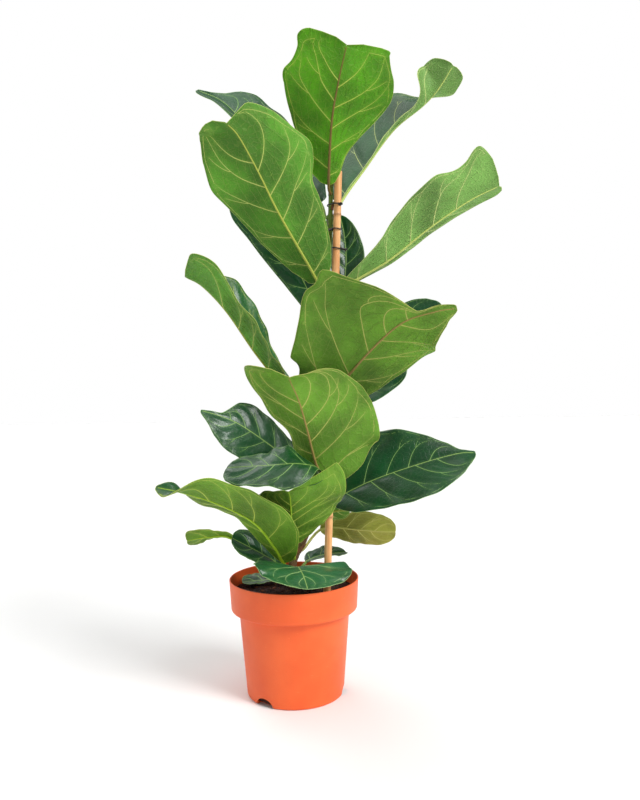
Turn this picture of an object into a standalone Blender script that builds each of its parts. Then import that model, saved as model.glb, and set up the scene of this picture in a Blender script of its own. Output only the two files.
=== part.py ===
"""Potted fiddle leaf fig: nursery pot, soil, stem, bamboo cane with its ties, and 23 leaves.

Metres, +Z up. The origin is the centre of the pot's underside, and the plant's front faces -Y.
"""
import math
from collections import namedtuple

import bmesh
import bpy
from mathutils import Vector

# ---------------------------------------------------------------- driving dimensions
POT_HEIGHT = 0.169
POT_RIM_RADIUS = 0.095
POT_BASE_RADIUS = 0.071
POT_WALL = 0.0016
POT_FLOOR = 0.0022
COLLAR_HEIGHT = 0.044
COLLAR_TAPER = 0.0025
BODY_TOP_RADIUS = 0.0812
BASE_CORNER = 0.004
RIM_ROUNDING = 0.0010
COLLAR_ROUNDING = 0.0025
COLLAR_LEDGE = 0.0040                   # from the collar's foot up to where its inner wall starts
POT_SIDES = 48

COLLAR_FOOT = POT_HEIGHT - COLLAR_HEIGHT
COLLAR_LOW_RADIUS = POT_RIM_RADIUS - COLLAR_TAPER

NOTCH_WIDTH = 0.030
NOTCH_HEIGHT = 0.012
NOTCH_REACH = 0.030
NOTCH_BEARINGS = (-37.0, 83.0, 203.0)   # degrees round from the front, one third of a turn apart

SOIL_TOP = 0.150
SOIL_MOUND = 0.004
SOIL_GAP = 0.0006
SOIL_EDGE = 0.006                       # width and drop of the soil's rounded border
SOIL_EDGE_DROP = 0.003

CONTACT_GAP = 0.0003

STEM_PATH = [(-0.005, 0.000, 0.115), (-0.005, 0.000, 0.150), (0.000, 0.000, 0.195), (0.015, 0.000, 0.225),
             (0.034, 0.000, 0.280), (0.045, 0.000, 0.400), (0.052, -0.002, 0.530),
             (0.056, -0.005, 0.600), (0.0612, -0.006, 0.680), (0.0635, -0.004, 0.740)]
STEM_FOOT_RADIUS = 0.0065
STEM_TIP_RADIUS = 0.0032
STEM_POINTS = 40

CANE_FOOT = (0.0430, -0.0372, 0.030)
CANE_TOP = (0.0745, -0.0100, 0.760)
CANE_RADIUS = 0.0055
CANE_NODE_SPACING = 0.145
CANE_NODE_SWELL = 0.0006
CANE_NODE_REACH = 0.004
HOLE_CLEARANCE = 0.0010

TIE_HEIGHTS = {"tie_lower": 0.648, "tie_middle": 0.676, "tie_upper": 0.712}
TIE_WIRE_RADIUS = 0.0009
TIE_GAP = 0.0006
TIE_ARC_STEPS = 6

PETIOLE_RADIUS = 0.0024
PETIOLE_STUB = 0.006
BLADE_THICKNESS = 0.0010
MIDRIB_DEPTH = 0.0022
PETIOLE_RINGS = 4
RING_POINTS = 12
PATH_STEPS = 12
FINE_STEPS = 200
FULL_WAVE_WIDTH = 0.06                  # narrower blades have proportionally lower ripples
WAVE_PITCH = 13.0
WAVE_PHASE = (0.0, 1.7)
BLADE_SHARES = (0.0, 0.05, 0.13, 0.23, 0.35, 0.48, 0.61, 0.73, 0.83, 0.91, 0.965, 1.0)
SIDE_STEPS = (-1.0, -0.62, -0.28, 0.0, 0.28, 0.62, 1.0)

# Half-width along the blade, from its base to its tip, as a share of the widest half-width.
OUTLINES = {
    "fiddle": [(0.0, 0.16), (0.05, 0.38), (0.14, 0.50), (0.30, 0.60), (0.50, 0.84), (0.68, 1.0),
               (0.82, 0.97), (0.92, 0.78), (0.975, 0.48), (1.0, 0.10)],
    "blunt": [(0.0, 0.15), (0.10, 0.34), (0.30, 0.55), (0.50, 0.75), (0.70, 0.90), (0.85, 1.0),
              (0.94, 0.90), (0.98, 0.60), (1.0, 0.12)],
    "broad": [(0.0, 0.20), (0.04, 0.52), (0.12, 0.72), (0.26, 0.82), (0.45, 0.95), (0.62, 1.0),
              (0.78, 0.92), (0.90, 0.70), (0.97, 0.40), (1.0, 0.08)],
    "round": [(0.0, 0.25), (0.05, 0.62), (0.14, 0.88), (0.28, 1.0), (0.50, 1.0), (0.70, 0.90),
              (0.85, 0.68), (0.94, 0.42), (1.0, 0.08)],
    "basal": [(0.0, 0.35), (0.05, 0.72), (0.14, 0.95), (0.28, 1.0), (0.45, 0.82), (0.60, 0.60),
              (0.75, 0.44), (0.84, 0.36), (0.92, 0.24), (0.97, 0.12), (1.0, 0.04)],
    "square": [(0.0, 0.15), (0.10, 0.36), (0.30, 0.58), (0.50, 0.78), (0.70, 0.93), (0.90, 1.0),
               (0.985, 0.95), (1.0, 0.60)],
    "crown_near": [(0.0, 0.10), (0.06, 0.20), (0.20, 0.30), (0.30, 0.46), (0.45, 0.74), (0.60, 0.95),
                   (0.70, 1.0), (0.80, 0.96), (0.88, 0.86), (0.95, 0.78), (0.985, 0.72), (1.0, 0.12)],
    "crown_far": [(0.0, 0.12), (0.06, 0.32), (0.24, 0.50), (0.46, 0.76), (0.62, 0.95), (0.70, 1.0),
                  (0.78, 0.88), (0.86, 0.84), (0.93, 0.88), (0.98, 0.70), (1.0, 0.10)],
    "bulged": [(0.0, 0.20), (0.04, 0.36), (0.12, 0.50), (0.26, 0.64), (0.40, 0.74), (0.52, 0.77),
               (0.61, 0.92), (0.69, 1.0), (0.78, 0.88), (0.90, 0.70), (0.97, 0.45), (1.0, 0.08)],
    "lobed": [(0.0, 0.15), (0.10, 0.36), (0.30, 0.58), (0.50, 0.80), (0.65, 1.0), (0.80, 0.88),
              (0.90, 0.68), (0.96, 0.50), (0.99, 0.30), (1.0, 0.10)],
    "late_lobe": [(0.0, 0.20), (0.05, 0.42), (0.12, 0.62), (0.25, 0.74), (0.35, 0.85), (0.45, 0.98),
                  (0.53, 0.96), (0.59, 1.0), (0.64, 0.76), (0.70, 0.48), (0.75, 0.22), (0.80, 0.06),
                  (0.90, 0.06), (1.0, 0.04)],
    "low_belly": [(0.0, 0.20), (0.05, 0.48), (0.15, 0.66), (0.30, 0.82), (0.45, 0.96), (0.60, 1.0),
                  (0.72, 0.94), (0.82, 0.66), (0.90, 0.36), (0.96, 0.16), (1.0, 0.04)],
    "waisted": [(0.0, 0.15), (0.10, 0.36), (0.25, 0.45), (0.40, 0.47), (0.50, 0.54), (0.60, 0.80),
                (0.75, 0.92), (0.88, 1.0), (0.96, 0.97), (0.99, 0.75), (1.0, 0.10)],
    "wavy": [(0.0, 0.15), (0.10, 0.30), (0.30, 0.52), (0.45, 0.66), (0.60, 0.58), (0.70, 0.58),
             (0.80, 0.88), (0.88, 1.0), (0.95, 0.98), (0.98, 0.80), (1.0, 0.10)],
    "abrupt": [(0.0, 0.30), (0.10, 0.60), (0.30, 0.85), (0.50, 0.95), (0.62, 1.0), (0.70, 0.85),
               (0.76, 0.45), (0.82, 0.16), (0.92, 0.08), (1.0, 0.04)],
    "deep_heart": [(0.0, 0.20), (0.05, 0.45), (0.12, 0.65), (0.30, 0.86), (0.48, 1.0), (0.62, 0.96),
                   (0.75, 0.80), (0.86, 0.58), (0.94, 0.32), (1.0, 0.04)],
    "hooded": [(0.0, 0.20), (0.10, 0.55), (0.30, 0.85), (0.50, 0.98), (0.68, 1.0), (0.76, 0.92),
               (0.81, 0.66), (0.85, 0.28), (0.90, 0.10), (0.95, 0.06), (1.0, 0.04)],
    "flipped": [(0.0, 0.20), (0.05, 0.45), (0.20, 0.75), (0.40, 0.95), (0.58, 1.0), (0.68, 0.80),
                (0.78, 0.42), (0.88, 0.40), (0.96, 0.38), (1.0, 0.10)],
    "late": [(0.0, 0.08), (0.10, 0.16), (0.30, 0.24), (0.50, 0.34), (0.62, 0.55), (0.75, 0.90),
             (0.86, 1.0), (0.95, 0.80), (1.0, 0.08)],
    "tucked": [(0.0, 0.15), (0.10, 0.34), (0.30, 0.55), (0.50, 0.75), (0.65, 0.90), (0.75, 0.92),
               (0.82, 0.70), (0.90, 0.45), (0.97, 0.30), (1.0, 0.10)],
    "low_broad": [(0.0, 0.20), (0.04, 0.52), (0.12, 0.72), (0.26, 0.86), (0.40, 0.90), (0.50, 0.70),
                  (0.60, 0.50), (0.70, 0.36), (0.80, 0.30), (0.90, 0.28), (0.97, 0.22), (1.0, 0.08)],
    "arched": [(0.0, 0.20), (0.05, 0.40), (0.15, 0.64), (0.30, 0.90), (0.42, 1.0), (0.52, 0.88),
               (0.64, 0.80), (0.78, 0.74), (0.88, 0.42), (0.96, 0.18), (1.0, 0.04)],
    "notched": [(0.0, 0.10), (0.10, 0.24), (0.20, 0.38), (0.30, 0.50), (0.45, 0.68), (0.60, 0.84),
                (0.72, 0.92), (0.80, 0.78), (0.86, 0.80), (0.93, 1.0), (0.98, 0.62), (1.0, 0.12)],
    "tapered": [(0.0, 0.20), (0.05, 0.52), (0.15, 0.74), (0.30, 0.90), (0.50, 1.0), (0.66, 0.94),
                (0.78, 0.76), (0.88, 0.46), (0.95, 0.22), (1.0, 0.04)],
    "draped": [(0.0, 0.08), (0.12, 0.12), (0.20, 0.24), (0.28, 0.54), (0.38, 0.90), (0.50, 1.0),
               (0.65, 0.94), (0.80, 0.80), (0.92, 0.60), (0.97, 0.38), (1.0, 0.08)],
    "stepped": [(0.0, 0.30), (0.05, 0.66), (0.14, 0.90), (0.30, 1.0), (0.48, 0.92), (0.62, 0.72),
                (0.74, 0.48), (0.83, 0.28), (0.89, 0.10), (0.95, 0.05), (1.0, 0.04)],
}

# One row for each leaf.  "height" is where the petiole leaves the stem.  "path" runs along the midrib:
# the blade's base, points between, and its tip.  "upper" is the way the upper side faces at the base and,
# where the blade twists, "upper_tip" at the tip.  Left and right are as seen from the upper side with
# the tip pointing away: outline, half-widths, the fold of each half up from flat, and its curl further
# out, in degrees.  "shoulder" pushes the sides forward past the midrib's end, as a share of the length.
# "wave" is the height of the margin's ripples, "ear" pushes the left margin forward near the tip, and
# "twist" is the stretch of the blade over which it turns from "upper" to "upper_tip".
Leaf = namedtuple("Leaf", "name height path upper upper_tip outline left right fold curl shoulder wave "
                          "ear twist")


def leaf(name, height, path, upper, left, right, fold=(12, 12), curl=(0, 0), outline="fiddle",
         upper_tip=None, shoulder=0.05, wave=0.003, ear=0.0, twist=(0.0, 1.0)):
    outlines = (outline, outline) if isinstance(outline, str) else outline
    shoulder = shoulder if isinstance(shoulder, tuple) else (shoulder, shoulder)
    return Leaf(name, height, path, upper, upper_tip or upper, outlines, left, right, fold, curl,
                shoulder, wave, ear, twist)


LEAVES = [
    leaf("leaf_crown", 0.728, [(0.060, -0.026, 0.742), (0.065, -0.050, 0.815), (0.075, -0.070, 0.865),
                               (0.086, -0.080, 0.908)],
         upper=(0.05, 1.0, 0.25), left=0.081, right=0.080, fold=(20, 12), shoulder=(0.10, 0.12),
         outline=("crown_near", "crown_far")),
    leaf("leaf_upper_left", 0.580, [(0.040, -0.025, 0.603), (-0.010, -0.055, 0.690), (-0.035, -0.075, 0.740),
                                    (-0.060, -0.090, 0.785), (-0.075, -0.100, 0.800)],
         upper=(0.1, 1.0, 0.35), left=0.084, right=0.072, fold=(12, 8), curl=(20, 0),
         outline=("bulged", "lobed"), shoulder=(0.02, 0.18)),
    leaf("leaf_far_left", 0.697, [(0.045, 0.012, 0.725), (-0.005, 0.028, 0.785), (-0.065, 0.042, 0.850),
                                  (-0.100, 0.047, 0.885), (-0.135, 0.045, 0.900)],
         upper=(0.55, -0.75, 0.35), left=0.018, right=0.062, fold=(10, 10), outline=("broad", "hooded")),
    leaf("leaf_back_left", 0.520, [(0.045, 0.022, 0.550), (0.015, 0.035, 0.620), (-0.025, 0.045, 0.700),
                                   (-0.055, 0.050, 0.750)],
         upper=(-0.2, -0.97, 0.12), left=0.050, right=0.050, outline=("blunt", "broad")),
    leaf("leaf_upper_right", 0.690, [(0.080, 0.015, 0.725), (0.115, 0.030, 0.775), (0.160, 0.042, 0.835),
                                     (0.205, 0.040, 0.870), (0.228, 0.030, 0.892), (0.247, 0.020, 0.920)],
         upper=(-0.45, -0.75, 0.45), upper_tip=(-0.4, 0.75, 0.5), left=0.074, right=0.042, fold=(5, 60),
         outline=("flipped", "late"), twist=(0.62, 0.88)),
    leaf("leaf_centre", 0.405, [(0.036, -0.040, 0.425), (0.060, -0.060, 0.440), (0.110, -0.085, 0.495),
                                (0.150, -0.125, 0.530), (0.190, -0.150, 0.542), (0.215, -0.160, 0.545)],
         upper=(0.08, 0.85, 0.52), upper_tip=(0.5, 0.75, 0.25), left=0.066, right=0.120, fold=(20, 5),
         outline=("low_belly", "late_lobe")),
    leaf("leaf_front", 0.285, [(0.046, -0.048, 0.314), (0.035, -0.062, 0.345), (0.025, -0.084, 0.390),
                               (0.015, -0.105, 0.430), (0.005, -0.120, 0.455), (0.003, -0.130, 0.462)],
         upper=(0.0, 0.83, 0.54), left=0.096, right=0.055, fold=(12, 12), outline=("round", "waisted"),
         shoulder=(0.03, 0.20)),
    leaf("leaf_back_right", 0.395, [(0.075, 0.020, 0.430), (0.130, 0.040, 0.490), (0.185, 0.050, 0.540),
                                    (0.230, 0.050, 0.571)],
         upper=(-0.1, -0.95, 0.3), left=0.088, right=0.062, outline=("basal", "low_broad")),
    leaf("leaf_right", 0.560, [(0.080, 0.000, 0.592), (0.145, -0.010, 0.630), (0.205, -0.020, 0.675),
                               (0.260, -0.030, 0.710), (0.300, -0.035, 0.728)],
         upper=(-0.2, 0.9, 0.4), left=0.024, right=0.063, fold=(45, 5), outline=("blunt", "notched")),
    leaf("leaf_back", 0.545, [(0.075, 0.020, 0.575), (0.085, 0.040, 0.630), (0.084, 0.050, 0.675),
                              (0.078, 0.055, 0.710)],
         upper=(0.0, -0.96, 0.28), left=0.033, right=0.028, outline=("fiddle", "deep_heart")),
    leaf("leaf_mid_left", 0.410, [(0.002, -0.012, 0.437), (-0.045, -0.030, 0.495), (-0.085, -0.050, 0.555),
                                  (-0.117, -0.060, 0.590), (-0.140, -0.065, 0.603)],
         upper=(0.75, -0.1, 0.6), left=0.060, right=0.056, fold=(46, 48), outline=("wavy", "tucked")),
    leaf("leaf_left_dark", 0.275, [(0.010, 0.002, 0.330), (-0.025, -0.010, 0.360), (-0.070, -0.030, 0.395),
                                   (-0.100, -0.040, 0.410), (-0.125, -0.045, 0.418)],
         upper=(0.2, -0.75, 0.5), left=0.048, right=0.040, fold=(0, 0), outline=("low_belly", "abrupt")),
    leaf("leaf_low_front", 0.200, [(0.000, -0.036, 0.228), (0.000, -0.066, 0.270), (0.000, -0.090, 0.300),
                                   (-0.002, -0.097, 0.309)],
         upper=(0.0, 0.77, 0.64), left=0.078, right=0.050, outline=("square", "broad"), shoulder=(0.0, 0.10),
         ear=0.028),
    leaf("leaf_low_left_dark", 0.250, [(0.042, -0.082, 0.329), (0.019, -0.118, 0.348),
                                       (-0.030, -0.118, 0.347), (-0.084, -0.092, 0.342)],
         upper=(0.1, -0.4, 0.9), left=0.040, right=0.036, fold=(-22, 8), outline=("draped", "broad"),
         wave=0.006),
    leaf("leaf_low_left", 0.180, [(-0.015, -0.030, 0.200), (-0.025, -0.050, 0.225), (-0.050, -0.080, 0.265),
                                  (-0.095, -0.105, 0.295), (-0.140, -0.115, 0.312), (-0.175, -0.115, 0.320)],
         upper=(0.3, 0.6, 0.75), upper_tip=(-0.2, -0.6, 0.7), left=0.060, right=0.036,
         outline=("arched", "tapered"), twist=(0.70, 0.93)),
    leaf("leaf_small_left", 0.172, [(-0.085, -0.018, 0.230), (-0.120, -0.030, 0.236), (-0.150, -0.035, 0.232)],
         upper=(0.2, 0.6, 0.7), left=0.020, right=0.024, outline="blunt"),
    leaf("leaf_under_left", 0.166, [(-0.022, -0.014, 0.190), (-0.042, -0.026, 0.208), (-0.085, -0.042, 0.236)],
         upper=(0.57, -0.48, 0.51), left=0.025, right=0.025, outline="broad"),
    leaf("leaf_rim_front", 0.170, [(0.006, -0.050, 0.195), (0.011, -0.066, 0.196), (0.017, -0.086, 0.190),
                                   (0.022, -0.104, 0.179)],
         upper=(0.0, -0.3, 0.95), left=0.072, right=0.068, outline="round", fold=(-6, 20)),
    leaf("leaf_low_back_right", 0.178, [(0.022, 0.014, 0.190), (0.045, 0.030, 0.194), (0.078, 0.045, 0.194)],
         upper=(-0.1, -0.2, 0.97), left=0.022, right=0.020, outline="broad"),
    leaf("leaf_on_soil", 0.160, [(-0.030, 0.020, 0.160), (-0.055, 0.022, 0.158), (-0.078, 0.018, 0.158)],
         upper=(0.0, -0.2, 1.0), left=0.018, right=0.018, outline="broad"),
    leaf("leaf_low_right", 0.268, [(0.062, 0.002, 0.282), (0.115, -0.010, 0.310), (0.185, -0.020, 0.335),
                                   (0.240, -0.020, 0.349), (0.265, -0.020, 0.350)],
         upper=(-0.15, -0.75, 0.6), left=0.073, right=0.064, outline=("stepped", "deep_heart")),
    leaf("leaf_olive_right", 0.208, [(0.045, 0.044, 0.232), (0.100, 0.047, 0.228), (0.130, 0.050, 0.224),
                                     (0.155, 0.050, 0.223)],
         upper=(0.0, 0.9, 0.4), left=0.032, right=0.030, outline="broad"),
    leaf("leaf_bright_back", 0.240, [(0.038, 0.012, 0.257), (0.062, 0.018, 0.262), (0.084, 0.020, 0.262)],
         upper=(0.0, 0.9, 0.4), left=0.019, right=0.017, outline="broad"),
]

COLOURS = {
    "pot": (0.83, 0.18, 0.045), "soil": (0.035, 0.018, 0.012), "cane": (0.78, 0.48, 0.22),
    "stem": (0.16, 0.28, 0.05), "tie": (0.03, 0.03, 0.03), "leaf": (0.06, 0.22, 0.04),
}


# ---------------------------------------------------------------- smooth paths and leaf surfaces
def between(points, span, share):
    """A point of the smooth curve through points, a share of the way along one of its spans."""
    last = len(points) - 1
    before = points[max(span - 1, 0)]
    start, end = points[span], points[span + 1]
    after = points[min(span + 2, last)]
    start_pull = (end - before) * (0.5 if span > 0 else 1.0)
    end_pull = (after - start) * (0.5 if span + 2 <= last else 1.0)
    square, cube = share * share, share ** 3
    return (start * (2 * cube - 3 * square + 1) + start_pull * (cube - 2 * square + share)
            + end * (3 * square - 2 * cube) + end_pull * (cube - square))


def smooth_path(points):
    points = [Vector(point) for point in points]
    curve = []
    for span in range(len(points) - 1):
        for step in range(PATH_STEPS):
            curve.append(between(points, span, step / PATH_STEPS))
    curve.append(points[-1])
    return curve


def evenly(curve, count):
    """count points at equal distances along a finely divided curve."""
    reach = [0.0]
    for one, two in zip(curve, curve[1:]):
        reach.append(reach[-1] + (two - one).length)
    result = []
    index = 0
    for step in range(count):
        wanted = reach[-1] * step / (count - 1)
        while index < len(curve) - 2 and reach[index + 1] < wanted:
            index += 1
        run = max(reach[index + 1] - reach[index], 1e-9)
        result.append(curve[index].lerp(curve[index + 1], min((wanted - reach[index]) / run, 1.0)))
    return result


def profile_at(outline, share):
    """The height of a smooth profile given by a few (place, height) pairs."""
    for index in range(len(outline) - 1):
        if share <= outline[index + 1][0] or index == len(outline) - 2:
            start, end = outline[index][0], outline[index + 1][0]
            heights = [Vector((height, 0, 0)) for _, height in outline]
            return max(between(heights, index, min((share - start) / (end - start), 1.0)).x, 0.0)


def stem_radius(height):
    share = (height - STEM_PATH[0][2]) / (STEM_PATH[-1][2] - STEM_PATH[0][2])
    return STEM_FOOT_RADIUS + (STEM_TIP_RADIUS - STEM_FOOT_RADIUS) * min(max(share, 0.0), 1.0)


def stem_point(height):
    curve = smooth_path(STEM_PATH)
    return min(curve, key=lambda point: abs(point.z - height))


def leaf_spines(row):
    """The petiole's and the blade's centre lines, each with evenly spaced points."""
    heart = stem_point(row.height)
    outward = Vector(row.path[0]) - heart
    outward.z = 0.0
    outward.normalize()
    start = heart + outward * (stem_radius(row.height) + CONTACT_GAP * 4)
    stub = start + outward * PETIOLE_STUB
    points = [start, stub] + [Vector(point) for point in row.path]
    curve = smooth_path(points)
    blade_start = 2 * PATH_STEPS
    petiole = evenly(curve[:blade_start + 1], PETIOLE_RINGS + 1)
    fine = evenly(curve[blade_start:], FINE_STEPS + 1)
    blade = [fine[round(share * FINE_STEPS)] for share in BLADE_SHARES]
    return petiole, blade, outward


def tangents(points, first=None):
    result = []
    for index in range(len(points)):
        ahead = points[min(index + 1, len(points) - 1)]
        behind = points[max(index - 1, 0)]
        result.append((ahead - behind).normalized())
    if first is not None:
        result[0] = first
    return result


def frame(tangent, upper):
    normal = (upper - tangent * upper.dot(tangent)).normalized()
    return tangent.cross(normal).normalized(), normal


def half_section(width, fold, curl, side):
    """Sideways and upward offsets at a share of a half that folds up by one angle and curls by more."""
    reach = abs(side)
    steps = 8
    across = 0.0
    up = 0.0
    for step in range(steps):
        angle = math.radians(fold + curl * reach * (step + 0.5) / steps)
        across += math.cos(angle) * width * reach / steps
        up += math.sin(angle) * width * reach / steps
    return math.copysign(across, side), up


def blade_point(row, centre, tangent, upper, share, side):
    across_way, up_way = frame(tangent, upper)
    half = row.left if side < 0 else row.right
    pick = 0 if side < 0 else 1
    fullness = profile_at(OUTLINES[row.outline[pick]], share)
    width = half * fullness
    across, up = half_section(width, row.fold[pick], row.curl[pick], side)
    length = sum((Vector(b) - Vector(a)).length for a, b in zip(row.path, row.path[1:]))
    forward = row.shoulder[pick] * length * share ** 3 * side * side * math.sqrt(fullness)
    if side < 0:
        forward += row.ear * share ** 12 * side ** 10 * fullness
    wave = row.wave * min(1.0, half / FULL_WAVE_WIDTH)
    ripple = wave * side * side * math.sin(share * WAVE_PITCH + WAVE_PHASE[pick])
    ripple *= math.sin(math.pi * share)
    return centre + across_way * across + up_way * (up + ripple) + tangent * forward


def build_leaf(row, collection):
    petiole, blade, outward = leaf_spines(row)
    upper_base = Vector(row.upper).normalized()
    upper_tip = Vector(row.upper_tip).normalized()
    mesh = bmesh.new()
    rings = []

    for centre, tangent in zip(petiole[:-1], tangents(petiole, outward)[:-1]):
        side_way, up_way = frame(tangent, upper_base)
        ring = []
        for step in range(RING_POINTS):
            angle = math.pi - math.tau * step / RING_POINTS
            offset = side_way * math.cos(angle) + up_way * math.sin(angle)
            ring.append(mesh.verts.new(centre + offset * PETIOLE_RADIUS))
        rings.append(ring)

    twist_start, twist_end = row.twist
    for share, centre, tangent in zip(BLADE_SHARES, blade, tangents(blade)):
        turn = min(max((share - twist_start) / (twist_end - twist_start), 0.0), 1.0) ** 2
        upper = upper_base.lerp(upper_tip, turn)
        up_way = frame(tangent, upper)[1]
        top = [blade_point(row, centre, tangent, upper, share, side) for side in SIDE_STEPS]
        ring = [mesh.verts.new(point) for point in top]
        for side, point in list(zip(SIDE_STEPS, top))[-2:0:-1]:
            rib = MIDRIB_DEPTH * (1.0 - 0.7 * share) if side == 0.0 else 0.0
            ring.append(mesh.verts.new(point - up_way * (BLADE_THICKNESS + rib)))
        rings.append(ring)

    for one, two in zip(rings, rings[1:]):
        for step in range(RING_POINTS):
            follow = (step + 1) % RING_POINTS
            mesh.faces.new((one[step], one[follow], two[follow], two[step]))
    mesh.faces.new(rings[0][::-1])
    mesh.faces.new(rings[-1])
    bmesh.ops.triangulate(mesh, faces=mesh.faces[:])
    bmesh.ops.recalc_face_normals(mesh, faces=mesh.faces[:])
    return finish_mesh(row.name, mesh, collection, "leaf")


# ---------------------------------------------------------------- objects, collections, materials
def clear_scene():
    for item in list(bpy.data.objects):
        bpy.data.objects.remove(item, do_unlink=True)


def new_collection(name):
    collection = bpy.data.collections.new(name)
    bpy.context.scene.collection.children.link(collection)
    return collection


def material(kind):
    name = "fig_" + kind
    if name in bpy.data.materials:
        return bpy.data.materials[name]
    result = bpy.data.materials.new(name)
    result.use_nodes = True
    shader = result.node_tree.nodes["Principled BSDF"]
    shader.inputs["Base Color"].default_value = (*COLOURS[kind], 1.0)
    shader.inputs["Metallic"].default_value = 0.0
    shader.inputs["Roughness"].default_value = {"leaf": 0.35, "pot": 0.45, "cane": 0.5}.get(kind, 0.8)
    result.diffuse_color = (*COLOURS[kind], 1.0)
    return result


def place(item, collection, kind=None):
    collection.objects.link(item)
    if kind:
        item.data.materials.append(material(kind))
    return item


def finish_mesh(name, mesh, collection, kind, smooth=True):
    data = bpy.data.meshes.new(name)
    mesh.to_mesh(data)
    mesh.free()
    if smooth:
        data.shade_smooth()
    return place(bpy.data.objects.new(name, data), collection, kind)


def turned(name, profile, sides, collection, kind):
    """A profile of (radius, height) pairs turned about the vertical axis."""
    mesh = bmesh.new()
    verts = [mesh.verts.new((radius, 0.0, height)) for radius, height in profile]
    for one, two in zip(verts, verts[1:]):
        mesh.edges.new((one, two))
    item = finish_mesh(name, mesh, collection, kind, smooth=False)
    screw = item.modifiers.new("turn", "SCREW")
    screw.steps = sides
    screw.render_steps = sides
    screw.use_merge_vertices = True
    screw.merge_threshold = 0.0001
    screw.use_smooth_shade = True
    return item


def tube(name, points, radii, collection, kind, resolution=3, closed=False, depth=1.0):
    curve = bpy.data.curves.new(name, "CURVE")
    curve.dimensions = "3D"
    curve.bevel_depth = depth
    curve.bevel_resolution = resolution
    curve.use_fill_caps = not closed
    spline = curve.splines.new("POLY")
    spline.points.add(len(points) - 1)
    for control, point, radius in zip(spline.points, points, radii):
        control.co = (*point, 1.0)
        control.radius = radius
    spline.use_cyclic_u = closed
    spline.use_smooth = True
    return place(bpy.data.objects.new(name, curve), collection, kind)


def cut(item, cutter):
    cutter.hide_render = True
    cutter.display_type = "WIRE"
    modifier = item.modifiers.new("cut_" + cutter.name, "BOOLEAN")
    modifier.operation = "DIFFERENCE"
    modifier.solver = "EXACT"
    modifier.object = cutter


# ---------------------------------------------------------------- pot and soil
def pot_outside():
    return [(POT_RIM_RADIUS - RIM_ROUNDING, POT_HEIGHT), (POT_RIM_RADIUS, POT_HEIGHT - RIM_ROUNDING * 1.5),
            (COLLAR_LOW_RADIUS, COLLAR_FOOT + COLLAR_ROUNDING),
            (COLLAR_LOW_RADIUS - COLLAR_ROUNDING * 0.4, COLLAR_FOOT + COLLAR_ROUNDING * 0.4),
            (BODY_TOP_RADIUS, COLLAR_FOOT - COLLAR_ROUNDING * 0.8),
            (POT_BASE_RADIUS, BASE_CORNER), (POT_BASE_RADIUS - BASE_CORNER * 0.55, BASE_CORNER * 0.35),
            (POT_BASE_RADIUS - BASE_CORNER * 0.75, 0.0), (0.0, 0.0)]


def pot_inside_radius(height):
    """The radius of the inner wall below the collar."""
    share = (height - BASE_CORNER) / (COLLAR_FOOT - BASE_CORNER)
    return POT_BASE_RADIUS + (BODY_TOP_RADIUS - POT_BASE_RADIUS) * share - POT_WALL


def pot_inside():
    rim_inside = POT_RIM_RADIUS - POT_WALL - RIM_ROUNDING * 0.4
    return [(0.0, POT_FLOOR), (POT_BASE_RADIUS - BASE_CORNER, POT_FLOOR),
            (pot_inside_radius(BASE_CORNER), BASE_CORNER),
            (BODY_TOP_RADIUS - POT_WALL, COLLAR_FOOT),
            (COLLAR_LOW_RADIUS - POT_WALL, COLLAR_FOOT + COLLAR_LEDGE),
            (rim_inside, POT_HEIGHT - RIM_ROUNDING * 1.2),
            (POT_RIM_RADIUS - RIM_ROUNDING, POT_HEIGHT)]


def build_pot(collection, cutters):
    pot = turned("pot", pot_outside() + pot_inside(), POT_SIDES, collection, "pot")
    for bearing in NOTCH_BEARINGS:
        cut(pot, notch_cutter(bearing, cutters))
    return pot


def notch_cutter(bearing, cutters):
    """An arch across the bottom corner, where water drains out."""
    mesh = bmesh.new()
    bmesh.ops.create_cone(mesh, cap_ends=True, segments=16, radius1=NOTCH_WIDTH / 2,
                          radius2=NOTCH_WIDTH / 2, depth=NOTCH_REACH)
    turn = math.radians(bearing)
    for vert in mesh.verts:
        along = vert.co.z + POT_BASE_RADIUS + NOTCH_REACH * 0.2
        across = vert.co.x
        height = vert.co.y * NOTCH_HEIGHT / (NOTCH_WIDTH / 2)
        vert.co = (math.cos(turn) * across + math.sin(turn) * along,
                   math.sin(turn) * across - math.cos(turn) * along, height)
    return finish_mesh("notch_cutter_%d" % round(bearing), mesh, cutters, None, smooth=False)


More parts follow.
